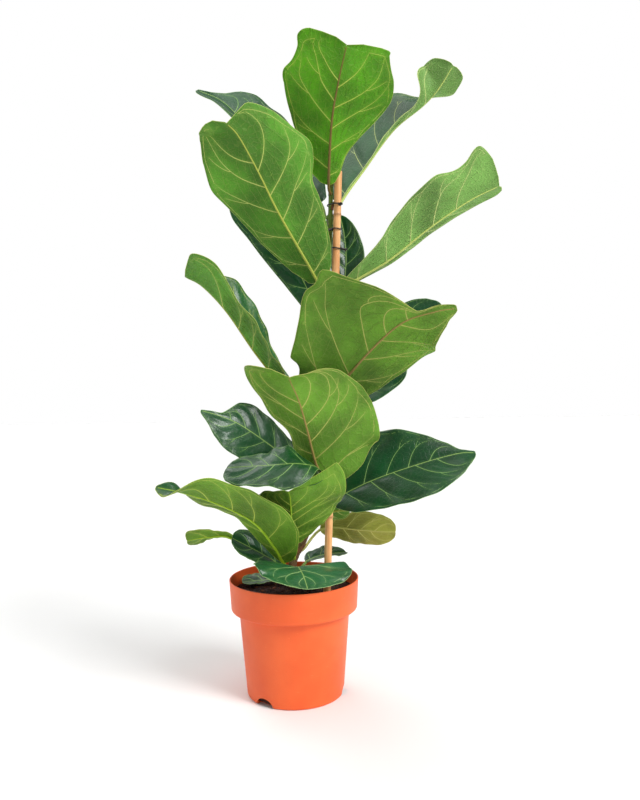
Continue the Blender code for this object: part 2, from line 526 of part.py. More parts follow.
def build_soil(collection, cutters):
    collar_inside = COLLAR_LOW_RADIUS - POT_WALL
    rim_inside = POT_RIM_RADIUS - POT_WALL - RIM_ROUNDING * 0.4
    top_share = (SOIL_TOP - COLLAR_FOOT - COLLAR_LEDGE) / (COLLAR_HEIGHT - COLLAR_LEDGE)
    top_radius = collar_inside + (rim_inside - collar_inside) * top_share - SOIL_GAP
    low_radius = pot_inside_radius(BASE_CORNER) - CONTACT_GAP
    floor = POT_FLOOR + CONTACT_GAP
    profile = [(0.0, SOIL_TOP + SOIL_MOUND), (top_radius * 0.33, SOIL_TOP + SOIL_MOUND * 0.9),
               (top_radius * 0.66, SOIL_TOP + SOIL_MOUND * 0.4), (top_radius - SOIL_EDGE, SOIL_TOP),
               (top_radius, SOIL_TOP - SOIL_EDGE_DROP),
               (collar_inside - SOIL_GAP, COLLAR_FOOT + COLLAR_LEDGE + SOIL_GAP * 2),
               (BODY_TOP_RADIUS - POT_WALL - SOIL_GAP, COLLAR_FOOT + SOIL_GAP),
               (low_radius, BASE_CORNER + SOIL_GAP),
               (POT_BASE_RADIUS - BASE_CORNER - SOIL_GAP, floor + SOIL_GAP * 0.4), (0.0, floor)]
    soil = turned("soil", profile, POT_SIDES, collection, "soil")
    cane_start = Vector(CANE_FOOT) - Vector((0.0, 0.0, CONTACT_GAP))
    cane_hole = tube("cane_hole", [cane_start, Vector(CANE_TOP)], [CANE_RADIUS + HOLE_CLEARANCE] * 2,
                     cutters, None)
    stem_way = [Vector(STEM_PATH[0])] + smooth_path(STEM_PATH)[3:22:3]
    stem_way[0].z -= CONTACT_GAP
    stem_hole = tube("stem_hole", stem_way, [STEM_FOOT_RADIUS + HOLE_CLEARANCE] * len(stem_way),
                     cutters, None)
    for curve_item in (cane_hole, stem_hole):
        cut(soil, meshed(curve_item, cutters))
    return soil


def meshed(curve_item, collection):
    """The curve as a welded mesh, which a Boolean can use."""
    graph = bpy.context.evaluated_depsgraph_get()
    data = bpy.data.meshes.new_from_object(curve_item.evaluated_get(graph))
    mesh = bmesh.new()
    mesh.from_mesh(data)
    bmesh.ops.remove_doubles(mesh, verts=mesh.verts[:], dist=0.00005)
    bmesh.ops.recalc_face_normals(mesh, faces=mesh.faces[:])
    mesh.to_mesh(data)
    mesh.free()
    name = curve_item.name
    bpy.data.objects.remove(curve_item, do_unlink=True)
    item = bpy.data.objects.new(name, data)
    collection.objects.link(item)
    return item


# ---------------------------------------------------------------- stem, cane and ties
def build_stem(collection):
    points = evenly(smooth_path(STEM_PATH), STEM_POINTS)
    radii = [stem_radius(point.z) for point in points]
    return tube("stem", points, radii, collection, "stem")


def cane_point(height):
    share = (height - CANE_FOOT[2]) / (CANE_TOP[2] - CANE_FOOT[2])
    return Vector(CANE_FOOT).lerp(Vector(CANE_TOP), share)


def build_cane(collection):
    heights = [CANE_FOOT[2]]
    radii = [CANE_RADIUS]
    node = CANE_FOOT[2] + CANE_NODE_SPACING * 0.6
    while node < CANE_TOP[2] - CANE_NODE_REACH * 2:
        for offset, swell in ((-CANE_NODE_REACH, 0.0), (0.0, CANE_NODE_SWELL), (CANE_NODE_REACH, 0.0)):
            heights.append(node + offset)
            radii.append(CANE_RADIUS + swell)
        node += CANE_NODE_SPACING
    heights.append(CANE_TOP[2])
    radii.append(CANE_RADIUS)
    return tube("cane", [cane_point(height) for height in heights], radii, collection, "cane")


def build_tie(name, height, collection):
    """A loop of wire round the cane and the stem together."""
    cane = cane_point(height)
    stem = stem_point(height)
    way = (stem - cane).to_2d().normalized()
    clearance = TIE_WIRE_RADIUS + TIE_GAP
    points = []
    for centre, radius, start in ((cane, CANE_RADIUS, 90.0), (stem, stem_radius(height), -90.0)):
        for step in range(TIE_ARC_STEPS + 1):
            angle = math.radians(start + 180.0 * step / TIE_ARC_STEPS)
            reach = radius + clearance
            turned_way = Vector((way.x * math.cos(angle) - way.y * math.sin(angle),
                                 way.x * math.sin(angle) + way.y * math.cos(angle)))
            points.append(Vector((centre.x + turned_way.x * reach, centre.y + turned_way.y * reach, height)))
    return tube(name, points, [TIE_WIRE_RADIUS] * len(points), collection, "tie", resolution=1, closed=True)


# ---------------------------------------------------------------- the whole plant
def main():
    clear_scene()
    plant = new_collection("potted_fiddle_leaf_fig")
    cutters = new_collection("cutters")
    build_pot(plant, cutters)
    build_soil(plant, cutters)
    build_stem(plant)
    build_cane(plant)
    for name, height in TIE_HEIGHTS.items():
        build_tie(name, height, plant)
    for row in LEAVES:
        build_leaf(row, plant)
    bpy.context.view_layer.update()


main()
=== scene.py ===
"""Potted fiddle leaf fig: a young tree on a bamboo cane, in an orange nursery pot.

Metres, +Z up.  The origin is the centre of the pot's underside, and the plant's front faces -Y.
"""
import math
from collections import namedtuple

import bmesh
import bpy
import numpy as np
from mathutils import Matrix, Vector, noise


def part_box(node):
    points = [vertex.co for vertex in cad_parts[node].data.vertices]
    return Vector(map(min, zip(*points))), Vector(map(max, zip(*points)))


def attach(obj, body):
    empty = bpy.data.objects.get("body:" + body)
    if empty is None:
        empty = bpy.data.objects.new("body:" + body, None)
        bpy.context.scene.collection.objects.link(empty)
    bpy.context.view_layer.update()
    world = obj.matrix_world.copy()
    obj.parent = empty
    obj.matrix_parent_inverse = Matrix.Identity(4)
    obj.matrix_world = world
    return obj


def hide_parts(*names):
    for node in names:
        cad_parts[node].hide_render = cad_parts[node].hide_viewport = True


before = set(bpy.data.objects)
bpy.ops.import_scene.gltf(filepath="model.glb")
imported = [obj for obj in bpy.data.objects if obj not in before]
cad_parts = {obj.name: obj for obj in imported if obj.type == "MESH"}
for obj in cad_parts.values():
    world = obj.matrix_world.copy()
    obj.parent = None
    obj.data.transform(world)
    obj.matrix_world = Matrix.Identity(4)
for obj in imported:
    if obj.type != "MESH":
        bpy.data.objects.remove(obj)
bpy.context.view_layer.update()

scene = bpy.context.scene


# ---------------------------------------------------------------- studio: camera, floor and soft light
# A white room with a pale floor, a soft key light high on the right, a weak one behind and a softbox
# overhead.  The camera stands near the middle of the plant's height and looks at its front, nearly level.
CAMERA_PLACE = (0.043, -1.10, 0.455)
CAMERA_DIP = 0.0233
CAMERA_LEAN = 0.016
CAMERA_LENS = 33.7
FLOOR_HALF = 8.0
FLOOR_GAP = 0.0002
FLOOR_COLOUR = (0.92, 0.92, 0.91)
FLOOR_CLOUDS = (0.85, 0.85, 0.86)
ROOM_BRIGHTNESS = 0.42
KEY_LIGHT = ((1.05, -0.80, 1.05), 2.7, 24.0)
BACK_LIGHT = ((-0.6, 0.9, 1.1), 0.9, 40.0)
SOFTBOX_PLACE = (-0.15, -0.35, 2.1)
SOFTBOX_SIZE = 1.3
SOFTBOX_WATTS = 10.0


def plug(tree, socket, item):
    """Gives a socket its value, or links it to another socket."""
    if isinstance(item, Shade):
        tree.links.new(item.socket, socket)
    elif isinstance(item, tuple) and socket.type == "RGBA":
        socket.default_value = (*item[:3], 1.0)
    else:
        socket.default_value = item


class Shade:
    """What a socket gives over a surface: Python's operators on it add Math nodes."""

    def __init__(self, tree, socket):
        self.tree = tree
        self.socket = socket

    def maths(self, operation, *values):
        node = self.tree.nodes.new("ShaderNodeMath")
        node.operation = operation
        for socket, value in zip(node.inputs, values):
            plug(self.tree, socket, value)
        return Shade(self.tree, node.outputs[0])

    def __add__(self, other):
        return self.maths("ADD", self, other)

    def __sub__(self, other):
        return self.maths("SUBTRACT", self, other)

    def __rsub__(self, other):
        return self.maths("SUBTRACT", other, self)

    def __mul__(self, other):
        return self.maths("MULTIPLY", self, other)

    def __pow__(self, other):
        return self.maths("POWER", self, other)

    def between(self, low, high):
        """0 at low, 1 at high, and a smooth rise between them."""
        node = self.tree.nodes.new("ShaderNodeMapRange")
        node.interpolation_type = "SMOOTHSTEP"
        for key, value in (("Value", self), ("From Min", low), ("From Max", high)):
            plug(self.tree, node.inputs[key], value)
        return Shade(self.tree, node.outputs[0])

    __radd__ = __add__
    __rmul__ = __mul__


class Finish:
    """A material being mixed on a Principled shader, with one method that adds any other node."""

    def __init__(self, name, **constants):
        self.material = bpy.data.materials.new(name)
        self.material.use_nodes = True
        self.tree = self.material.node_tree
        self.shader = self.tree.nodes["Principled BSDF"]
        self.give(**constants)

    def give(self, **values):
        for key, value in values.items():
            plug(self.tree, self.shader.inputs[key.replace("_", " ")], value)

    def node(self, kind, settings=None, sockets=None, output=0):
        node = self.tree.nodes.new("ShaderNode" + kind)
        for key, value in (settings or {}).items():
            setattr(node, key, value)
        for key, value in (sockets or {}).items():
            named = [socket for socket in node.inputs if key in (socket.identifier, socket.name)]
            plug(self.tree, named[0], value)
        wanted = [socket for socket in node.outputs if output in (socket.identifier, socket.name)]
        return Shade(self.tree, wanted[0] if wanted else node.outputs[output])

    def place(self, stretch=(1.0, 1.0, 1.0)):
        """Where a point is on its piece, in metres, drawn out along the axes."""
        point = self.node("TexCoord", output="Object")
        return self.node("Mapping", {}, {"Vector": point, "Scale": stretch})

    def mottle(self, where, scale, detail=3.0, distortion=0.0):
        return self.node("TexNoise", {}, {"Vector": where, "Scale": scale, "Detail": detail,
                                          "Distortion": distortion})

    def mix(self, share, one, two):
        return self.node("Mix", {"data_type": "RGBA"},
                         {"Factor_Float": share, "A_Color": one, "B_Color": two}, "Result_Color")

    def bump(self, height, depth, below=None):
        """Relief of the given depth in metres, on top of any relief below."""
        sockets = {"Height": height, "Distance": depth, "Strength": 1.0}
        if below is not None:
            sockets["Normal"] = below
        return self.node("Bump", {}, sockets)


def srgb(red, green, blue):
    """A colour as painters' scales of 255 name it, made linear."""
    return tuple((part / 255.0) ** 2.2 for part in (red, green, blue))


def placed(name, data):
    """An object of a mesh, lamp or camera, in the scene."""
    item = bpy.data.objects.new(name, data)
    scene.collection.objects.link(item)
    return item


def mesh_object(name, verts, faces, materials):
    data = bpy.data.meshes.new(name)
    data.from_pydata([tuple(vert) for vert in verts], [], [tuple(face) for face in faces])
    for material in materials:
        data.materials.append(material)
    data.shade_smooth()
    return placed(name, data)


floor_finish = Finish("studio_floor", Roughness=0.7)
floor_shade = floor_finish.mottle(floor_finish.place(), 6.0)
floor_finish.give(Base_Color=floor_finish.mix(floor_shade * 0.02, FLOOR_COLOUR, FLOOR_CLOUDS))
corners = [(-FLOOR_HALF, -FLOOR_HALF), (FLOOR_HALF, -FLOOR_HALF), (FLOOR_HALF, FLOOR_HALF),
           (-FLOOR_HALF, FLOOR_HALF)]
floor = mesh_object("studio_floor", [(x, y, -FLOOR_GAP) for x, y in corners], [(0, 1, 2, 3)],
                    [floor_finish.material])

room = bpy.data.worlds.new("studio_room")
room.use_nodes = True
scene.world = room
room_nodes = room.node_tree.nodes
seen = room_nodes.new("ShaderNodeLightPath")
brightness = room_nodes.new("ShaderNodeMapRange")
brightness.inputs["To Min"].default_value = ROOM_BRIGHTNESS
brightness.inputs["To Max"].default_value = 1.0
room.node_tree.links.new(seen.outputs["Is Camera Ray"], brightness.inputs["Value"])
room_nodes["Background"].inputs["Color"].default_value = (1.0, 1.0, 1.0, 1.0)
room.node_tree.links.new(brightness.outputs[0], room_nodes["Background"].inputs["Strength"])
scene.view_settings.view_transform = "Standard"

for light_name, (toward, strength, softness) in (("key", KEY_LIGHT), ("back", BACK_LIGHT)):
    lamp = bpy.data.lights.new(light_name, "SUN")
    lamp.energy = strength
    lamp.angle = math.radians(softness)
    lamp_object = placed(light_name, lamp)
    lamp_object.rotation_euler = Vector(toward).to_track_quat("Z", "Y").to_euler()

softbox_lamp = bpy.data.lights.new("softbox", "AREA")
softbox_lamp.size = SOFTBOX_SIZE
softbox_lamp.energy = SOFTBOX_WATTS
softbox = placed("softbox", softbox_lamp)
softbox.location = SOFTBOX_PLACE

camera = placed("camera", bpy.data.cameras.new("camera"))
camera.data.lens = CAMERA_LENS
camera.location = CAMERA_PLACE
camera.rotation_euler = (math.pi / 2 - CAMERA_DIP, CAMERA_LEAN, 0.0)
scene.camera = camera


# ---------------------------------------------------------------- nursery pot
# One thin shell of orange polypropylene, injection moulded: a tapered body, a deep collar that lets
# pots stack, and three arched notches across the bottom corner where water drains out.
POT_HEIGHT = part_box("pot")[1][2]
RIM_RADIUS = 0.095
POT_WALL = 0.0016
POT_FLOOR = 0.0022
COLLAR_FOOT = POT_HEIGHT - 0.044
COLLAR_FOOT_RADIUS = RIM_RADIUS - 0.0025
BODY_TOP_RADIUS = 0.0812
BASE_RADIUS = 0.071
FOOT_RING = 0.006
UNDERSIDE_RECESS = 0.0008
POT_SIDES = 192
NOTCH_WIDTH = 0.030
NOTCH_HEIGHT = 0.012
NOTCH_INSIDE = 0.009
NOTCH_OUTSIDE = 0.021
NOTCH_SIDES = 24
NOTCH_BEARINGS = (-37.0, 83.0, 203.0)
ORANGE = srgb(242, 104, 48)
ORANGE_DEEP = srgb(226, 84, 34)
ORANGE_WORN = srgb(248, 130, 76)
SOIL_DUST = srgb(120, 60, 35)


def rounded(corners, step):
    """Points along a line of (across, up, corner radius) triples, its corners turned as arcs."""
    points = []
    for index, (across, up, radius) in enumerate(corners):
        here = np.array((across, up))
        if radius == 0.0 or index in (0, len(corners) - 1):
            arc = [here]
        else:
            ways = [np.array(corners[index + way][:2]) - here for way in (-1, 1)]
            reach = [min(radius, 0.48 * np.linalg.norm(way)) / np.linalg.norm(way) for way in ways]
            start, end = (here + way * share for way, share in zip(ways, reach))
            shares = np.linspace(0.0, 1.0, 6)
            arc = [start * (1 - t) ** 2 + here * 2 * t * (1 - t) + end * t ** 2 for t in shares]
        if points:
            gap = arc[0] - points[-1]
            count = int(np.linalg.norm(gap) / step)
            points += [points[-1] + gap * (i / (count + 1)) for i in range(1, count + 1)]
        points += arc
    return points


def node_tree(name, inputs):
    """An empty Geometry Nodes tree with the given inputs, and a way to add its nodes."""
    tree = bpy.data.node_groups.new(name, "GeometryNodeTree")
    tree.interface.new_socket("Geometry", in_out="INPUT", socket_type="NodeSocketGeometry")
    for label, kind in inputs:
        tree.interface.new_socket(label, in_out="INPUT", socket_type="NodeSocket" + kind)
    tree.interface.new_socket("Geometry", in_out="OUTPUT", socket_type="NodeSocketGeometry")
    given = tree.nodes.new("NodeGroupInput")

    def add(kind, sockets=None, **settings):
        node = tree.nodes.new(kind)
        for key, value in settings.items():
            setattr(node, key, value)
        for key, value in (sockets or {}).items():
            socket = next(s for s in node.inputs if key in (s.identifier, s.name) and s.enabled)
            if isinstance(value, bpy.types.NodeSocket):
                tree.links.new(value, socket)
            else:
                socket.default_value = value
        return next(s for s in node.outputs if s.enabled)

    def close(geometry, material):
        whole = add("GeometryNodeRealizeInstances", {"Geometry": geometry})
        finished = add("GeometryNodeSetMaterial", {"Geometry": whole, "Material": material})
        output = tree.nodes.new("NodeGroupOutput")
        tree.links.new(finished, output.inputs["Geometry"])

    return tree, given.outputs, add, close


def grown(item, tree, **inputs):
    """The plain mesh that a Geometry Nodes tree makes of an object, in that object's place."""
    modifier = item.modifiers.new(tree.name, "NODES")
    modifier.node_group = tree
    for socket in tree.interface.items_tree:
        if socket.in_out == "INPUT" and socket.name in inputs:
            modifier[socket.identifier] = inputs[socket.name]
    return settled(item)


def settled(item):
    """Replaces an object's mesh by what its modifiers make of it."""
    graph = bpy.context.evaluated_depsgraph_get()
    data = bpy.data.meshes.new_from_object(item.evaluated_get(graph), preserve_all_data_layers=True,
                                           depsgraph=graph)
    item.modifiers.clear()
    data.name = item.name
    item.data = data
    return item


# A wire of (radius, 0, height) points is turned about the vertical axis.
turned_tree, given, add, close = node_tree("turned_form", [("Sides", "Int"), ("Material", "Material")])
place = add("GeometryNodeInputPosition")
apart = turned_tree.nodes.new("ShaderNodeSeparateXYZ")
turned_tree.links.new(place, apart.inputs[0])
downward = add("ShaderNodeMath", {"Value": apart.outputs["Z"], "Value_001": -1.0}, operation="MULTIPLY")
lying = add("ShaderNodeCombineXYZ", {"X": apart.outputs["X"], "Y": downward})
profile = add("GeometryNodeSetPosition", {"Geometry": given["Geometry"], "Position": lying})
profile = add("GeometryNodeMeshToCurve", {"Mesh": profile})
hoop = add("GeometryNodeCurvePrimitiveCircle", {"Resolution": given["Sides"], "Radius": 0.00001})
hoop = add("GeometryNodeSetCurveNormal", {"Curve": hoop}, mode="Z_UP")
shell = add("GeometryNodeCurveToMesh", {"Curve": hoop, "Profile Curve": profile})
shell = add("GeometryNodeMergeByDistance", {"Geometry": shell, "Distance": 0.00004})
close(shell, given["Material"])


def turned_piece(name, points, sides, material):
    data = bpy.data.meshes.new(name)
    count = len(points)
    data.from_pydata([(across, 0.0, up) for across, up in points], [(i, i + 1) for i in range(count - 1)], [])
    item = placed(name, data)
    grown(item, turned_tree, Sides=sides, Material=material)
    mesh = bmesh.new()
    mesh.from_mesh(item.data)
    bmesh.ops.recalc_face_normals(mesh, faces=mesh.faces[:])
    mesh.to_mesh(item.data)
    mesh.free()
    item.data.shade_smooth()
    return item


def sharpen(item, angle=40.0):
    """Smooth shading, broken at edges where the surface turns by more than an angle."""
    mesh = bmesh.new()
    mesh.from_mesh(item.data)
    limit = math.radians(angle)
    for edge in mesh.edges:
        edge.smooth = len(edge.link_faces) != 2 or edge.calc_face_angle(0.0) < limit
    mesh.to_mesh(item.data)
    mesh.free()
    item.data.shade_smooth()


def orange_plastic():
    """Satin polypropylene: faint flow marks, a soft orange-peel skin, scuffs and a dusting of soil."""
    finish = Finish("orange_plastic", Specular_IOR_Level=0.45)
    where = finish.place()
    cloudy = finish.mottle(where, 14.0, 3.0)
    flow = finish.mottle(finish.place((26.0, 26.0, 3.0)), 1.0, 4.0, 0.6)
    scuffs = finish.mottle(finish.place((60.0, 60.0, 420.0)), 1.0, 2.0, 1.5).between(0.66, 0.74)
    specks = finish.mottle(where, 900.0, 1.0).between(0.70, 0.76)
    colour = finish.mix(cloudy.between(0.35, 0.7) * 0.5 + flow * 0.2, ORANGE, ORANGE_DEEP)
    colour = finish.mix(scuffs * 0.35, colour, ORANGE_WORN)
    colour = finish.mix(specks * 0.25, colour, SOIL_DUST)
    skin = finish.mottle(where, 1500.0, 2.0)
    relief = finish.bump(skin, 0.00004)
    relief = finish.bump(flow, 0.0006, relief)
    relief = finish.bump(1 - scuffs, 0.00005, relief)
    finish.give(Base_Color=colour, Roughness=0.40 + cloudy * 0.12 + scuffs * 0.15, Normal=relief)
    return finish.material


pot_corners = [
    (0.0, UNDERSIDE_RECESS, 0.0), (BASE_RADIUS - FOOT_RING - 0.0015, UNDERSIDE_RECESS, 0.0008),
    (BASE_RADIUS - FOOT_RING, 0.0, 0.0008), (BASE_RADIUS, 0.0, 0.0035),
    (BODY_TOP_RADIUS, COLLAR_FOOT - 0.0012, 0.0016), (COLLAR_FOOT_RADIUS, COLLAR_FOOT, 0.0024),
    (RIM_RADIUS, POT_HEIGHT, 0.0011), (RIM_RADIUS - POT_WALL - 0.0004, POT_HEIGHT, 0.0011),
    (COLLAR_FOOT_RADIUS - POT_WALL, COLLAR_FOOT + 0.0040, 0.0020),
    (BODY_TOP_RADIUS - POT_WALL, COLLAR_FOOT, 0.0016),
    (BASE_RADIUS - POT_WALL, POT_FLOOR, 0.0030), (0.0, POT_FLOOR, 0.0)]
pot = turned_piece("nursery_pot", rounded(pot_corners, 0.004), POT_SIDES, orange_plastic())


def notch_cutter():
    """Three arches in one mesh, lying across the bottom corner."""
    verts = []
    faces = []
    sides = NOTCH_SIDES
    for bearing in NOTCH_BEARINGS:
        turn = math.radians(bearing)
        start = len(verts)
        for along in (BASE_RADIUS - NOTCH_INSIDE, BASE_RADIUS + NOTCH_OUTSIDE):
            for step in range(sides):
                angle = math.tau * step / sides
                across = math.cos(angle) * NOTCH_WIDTH / 2
                up = math.sin(angle) * NOTCH_HEIGHT
                verts.append((math.cos(turn) * across + math.sin(turn) * along,
                              math.sin(turn) * across - math.cos(turn) * along, up))
        near, far = range(start, start + sides), range(start + sides, start + 2 * sides)
        faces.append(list(near)[::-1])
        faces.append(list(far))
        faces += [(near[i], near[(i + 1) % sides], far[(i + 1) % sides], far[i]) for i in range(sides)]
    return mesh_object("notches", verts, faces, [])


cutter = notch_cutter()
cutting = pot.modifiers.new("notches", "BOOLEAN")
cutting.operation = "DIFFERENCE"
cutting.solver = "EXACT"
cutting.object = cutter
settled(pot)
bpy.data.objects.remove(cutter)
sharpen(pot)
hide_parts("pot")
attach(pot, "root")


# ---------------------------------------------------------------- potting soil
# Dark peat and bark, filled to two centimetres below the rim and heaped a little round the stem.
# Loose crumbs, lumps and short fibres lie on top.
SOIL_TOP = 0.150
SOIL_MOUND = 0.004
SOIL_RADIUS = 0.0917
SOIL_BROWN = srgb(62, 34, 26)
SOIL_DARK = srgb(28, 15, 12)
SOIL_BARK = srgb(120, 74, 48)
CRUMBS_PER_SQUARE_METRE = 100000.0
LUMPS_PER_SQUARE_METRE = 11000.0
FIBRES_PER_SQUARE_METRE = 9000.0
UPWARD = 0.6
PLACE_SEED, SPIN_SEED, SIZE_SEED, SHADE_SEED = 11, 21, 31, 41


def potting_soil():
    finish = Finish("potting_soil", Specular_IOR_Level=0.25)
    where = finish.place()
    grains = finish.mottle(where, 700.0, 4.0)
    patches = finish.mottle(where, 60.0, 3.0)
    own = finish.node("Attribute", {"attribute_name": "shade"}, {}, "Fac")
    colour = finish.mix(patches.between(0.3, 0.7), SOIL_DARK, SOIL_BROWN)
    colour = finish.mix(own.between(0.72, 1.0) * 0.8, colour, SOIL_BARK)
    colour = finish.mix(grains.between(0.45, 0.7) * 0.5, colour, SOIL_DARK)
    finish.give(Base_Color=colour, Roughness=0.80 + grains * 0.18,
                Normal=finish.bump(grains, 0.0006))
    return finish.material


def crumb(name, shape, subdivisions, roughness, seed):
    """A small angular lump, drawn out by shape along its axes."""
    mesh = bmesh.new()
    bmesh.ops.create_icosphere(mesh, subdivisions=subdivisions, radius=1.0)
    for vert in mesh.verts:
        push = 1.0 + roughness * noise.noise(vert.co * 1.7 + Vector((seed, 0.0, 0.0)))
        vert.co = Vector((vert.co.x * shape[0], vert.co.y * shape[1], vert.co.z * shape[2])) * push
    data = bpy.data.meshes.new(name)
    mesh.to_mesh(data)
    mesh.free()
    return placed(name, data)


soil_corners = [
    (0.0, SOIL_TOP + SOIL_MOUND, 0.0), (0.030, SOIL_TOP + SOIL_MOUND * 0.9, 0.006),
    (0.060, SOIL_TOP + SOIL_MOUND * 0.4, 0.006), (SOIL_RADIUS - 0.004, SOIL_TOP, 0.003),
    (SOIL_RADIUS, SOIL_TOP - 0.003, 0.002),
    (COLLAR_FOOT_RADIUS - POT_WALL - 0.0006, COLLAR_FOOT + 0.0052, 0.001),
    (BODY_TOP_RADIUS - POT_WALL - 0.0006, COLLAR_FOOT + 0.0008, 0.001),
    (BASE_RADIUS - POT_WALL - 0.0006, 0.006, 0.002), (BASE_RADIUS - 0.006, POT_FLOOR + 0.0005, 0.001),
    (0.0, POT_FLOOR + 0.0005, 0.0)]
soil_finish = potting_soil()
soil = turned_piece("potting_soil", rounded(soil_corners, 0.0022), 144, soil_finish)
for vert in soil.data.vertices:
    if vert.co.z > SOIL_TOP - 0.004:
        lumps = noise.noise(vert.co * 90.0) * 0.0016 + noise.noise(vert.co * 320.0) * 0.0008
        vert.co.z += lumps * min(1.0, (SOIL_RADIUS - vert.co.to_2d().length) / 0.004)

scatter_tree, given, add, close = node_tree(
    "loose_soil", [("Crumb", "Object"), ("Lump", "Object"), ("Fibre", "Object"), ("Crumbs", "Float"),
                   ("Lumps", "Float"), ("Fibres", "Float"), ("Material", "Material")])
facing = scatter_tree.nodes.new("ShaderNodeSeparateXYZ")
scatter_tree.links.new(add("GeometryNodeInputNormal"), facing.inputs[0])
upward = add("FunctionNodeCompare", {"A": facing.outputs["Z"], "B": UPWARD}, operation="GREATER_THAN")
layers = scatter_tree.nodes.new("GeometryNodeJoinGeometry")
scatter_tree.links.new(given["Geometry"], layers.inputs[0])
for order, (grain, amount, small, large) in enumerate((("Crumb", "Crumbs", 0.0005, 0.0016),
                                                       ("Lump", "Lumps", 0.0016, 0.0034),
                                                       ("Fibre", "Fibres", 0.7, 1.3))):
    points = add("GeometryNodeDistributePointsOnFaces",
                 {"Mesh": given["Geometry"], "Selection": upward, "Density": given[amount],
                  "Seed": PLACE_SEED + order})
    info = scatter_tree.nodes.new("GeometryNodeObjectInfo")
    scatter_tree.links.new(given[grain], info.inputs["Object"])
    spin = add("FunctionNodeRandomValue", {"Min": (-0.5, -0.5, 0.0), "Max": (0.5, 0.5, 6.283),
                                           "Seed": SPIN_SEED + order}, data_type="FLOAT_VECTOR")
    size = add("FunctionNodeRandomValue", {"Min_001": small, "Max_001": large,
                                           "Seed": SIZE_SEED + order}, data_type="FLOAT")
    grains = add("GeometryNodeInstanceOnPoints",
                 {"Points": points, "Instance": info.outputs["Geometry"], "Rotation": spin, "Scale": size})
    own = add("FunctionNodeRandomValue", {"Min_001": 0.0, "Max_001": 1.0,
                                          "Seed": SHADE_SEED + order}, data_type="FLOAT")
    grains = add("GeometryNodeStoreNamedAttribute", {"Geometry": grains, "Name": "shade", "Value": own},
                 data_type="FLOAT", domain="INSTANCE")
    scatter_tree.links.new(grains, layers.inputs[0])
close(layers.outputs[0], given["Material"])

small_crumb = crumb("crumb", (1.0, 0.8, 0.65), 1, 0.5, 3.0)
big_lump = crumb("lump", (1.0, 0.75, 0.5), 2, 0.7, 8.0)
fibre = crumb("fibre", (0.0055, 0.0004, 0.0004), 1, 0.6, 5.0)
grown(soil, scatter_tree, Crumb=small_crumb, Lump=big_lump, Fibre=fibre, Crumbs=CRUMBS_PER_SQUARE_METRE,
      Lumps=LUMPS_PER_SQUARE_METRE, Fibres=FIBRES_PER_SQUARE_METRE, Material=soil_finish)
for grain in (small_crumb, big_lump, fibre):
    bpy.data.objects.remove(grain)
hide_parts("soil")
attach(soil, "root")


# ---------------------------------------------------------------- stem
# A single young trunk: brown bark with pale pores near the soil, green above, with a ringed scar at
# each node, papery brown sheaths left from old buds, and a pointed green bud at the top.
STEM_PATH = [(-0.005, 0.000, 0.115), (-0.005, 0.000, 0.150), (0.000, 0.000, 0.195), (0.015, 0.000, 0.225),
             (0.034, 0.000, 0.280), (0.045, 0.000, 0.400), (0.052, -0.002, 0.530),
             (0.056, -0.005, 0.600), (0.0612, -0.006, 0.680), (0.0635, -0.004, 0.740)]
STEM_FOOT_RADIUS = 0.0065
STEM_TIP_RADIUS = 0.0032
STEM_NODES = (0.166, 0.180, 0.200, 0.208, 0.240, 0.250, 0.268, 0.285, 0.395, 0.410, 0.520, 0.545, 0.560,
              0.580, 0.690, 0.697, 0.728)
STEM_NODE_SWELL = 0.0007
STEM_NODE_REACH = 0.0022
STEM_STEP = 0.0025
BUD_LENGTH = 0.030
SHEATH_WRAP = 125.0
SHEATH_FLARE = 0.0030
SHEATH_THICKNESS = 0.0003
SHEATH_GAP = 0.0006
SHEATH_ROWS = 9
# Height, bearing and length of each sheath.
SHEATHS = ((0.205, -60.0, 0.015), (0.262, 40.0, 0.013), (0.300, 200.0, 0.012), (0.425, 150.0, 0.012),
           (0.555, -120.0, 0.013), (0.600, 60.0, 0.012), (0.665, 170.0, 0.014), (0.705, -30.0, 0.014))


PATH_STEPS = 12


def smooth_path(points, steps=PATH_STEPS):
    """A finely divided smooth curve through points."""
    points = [np.array(point, float) for point in points]
    last = len(points) - 1
    curve = []
    for span in range(last):
        start, end = points[span], points[span + 1]
        start_pull = (end - points[span - 1]) * 0.5 if span > 0 else end - start
        end_pull = (points[span + 2] - start) * 0.5 if span + 2 <= last else end - start
        for share in np.arange(steps) / steps:
            square, cube = share ** 2, share ** 3
            curve.append(start * (2 * cube - 3 * square + 1) + start_pull * (cube - 2 * square + share)
                         + end * (3 * square - 2 * cube) + end_pull * (cube - square))
    curve.append(points[-1])
    return np.array(curve)


def evenly(curve, shares):
    """Points of a finely divided curve at shares of its length."""
    reach = np.concatenate(([0.0], np.cumsum(np.linalg.norm(np.diff(curve, axis=0), axis=1))))
    return np.stack([np.interp(shares * reach[-1], reach, curve[:, axis]) for axis in range(3)], axis=1)


# Each strand of a wire mesh becomes a tube, as thick as its points say.
rod_tree, given, add, close = node_tree("rods", [("Sides", "Int"), ("Material", "Material")])
strands = add("GeometryNodeMeshToCurve", {"Mesh": given["Geometry"]})
thick = add("GeometryNodeInputNamedAttribute", {"Name": "thickness"}, data_type="FLOAT")
section = add("GeometryNodeCurvePrimitiveCircle", {"Resolution": given["Sides"], "Radius": 1.0})
rods = add("GeometryNodeCurveToMesh",
           {"Curve": strands, "Profile Curve": section, "Scale": thick, "Fill Caps": True})
close(rods, given["Material"])


def give_points(data, key, values):
    """A value for each point of a mesh, which Geometry Nodes or a material then reads by its name."""
    data.attributes.new(key, "FLOAT", "POINT").data.foreach_set("value", values)


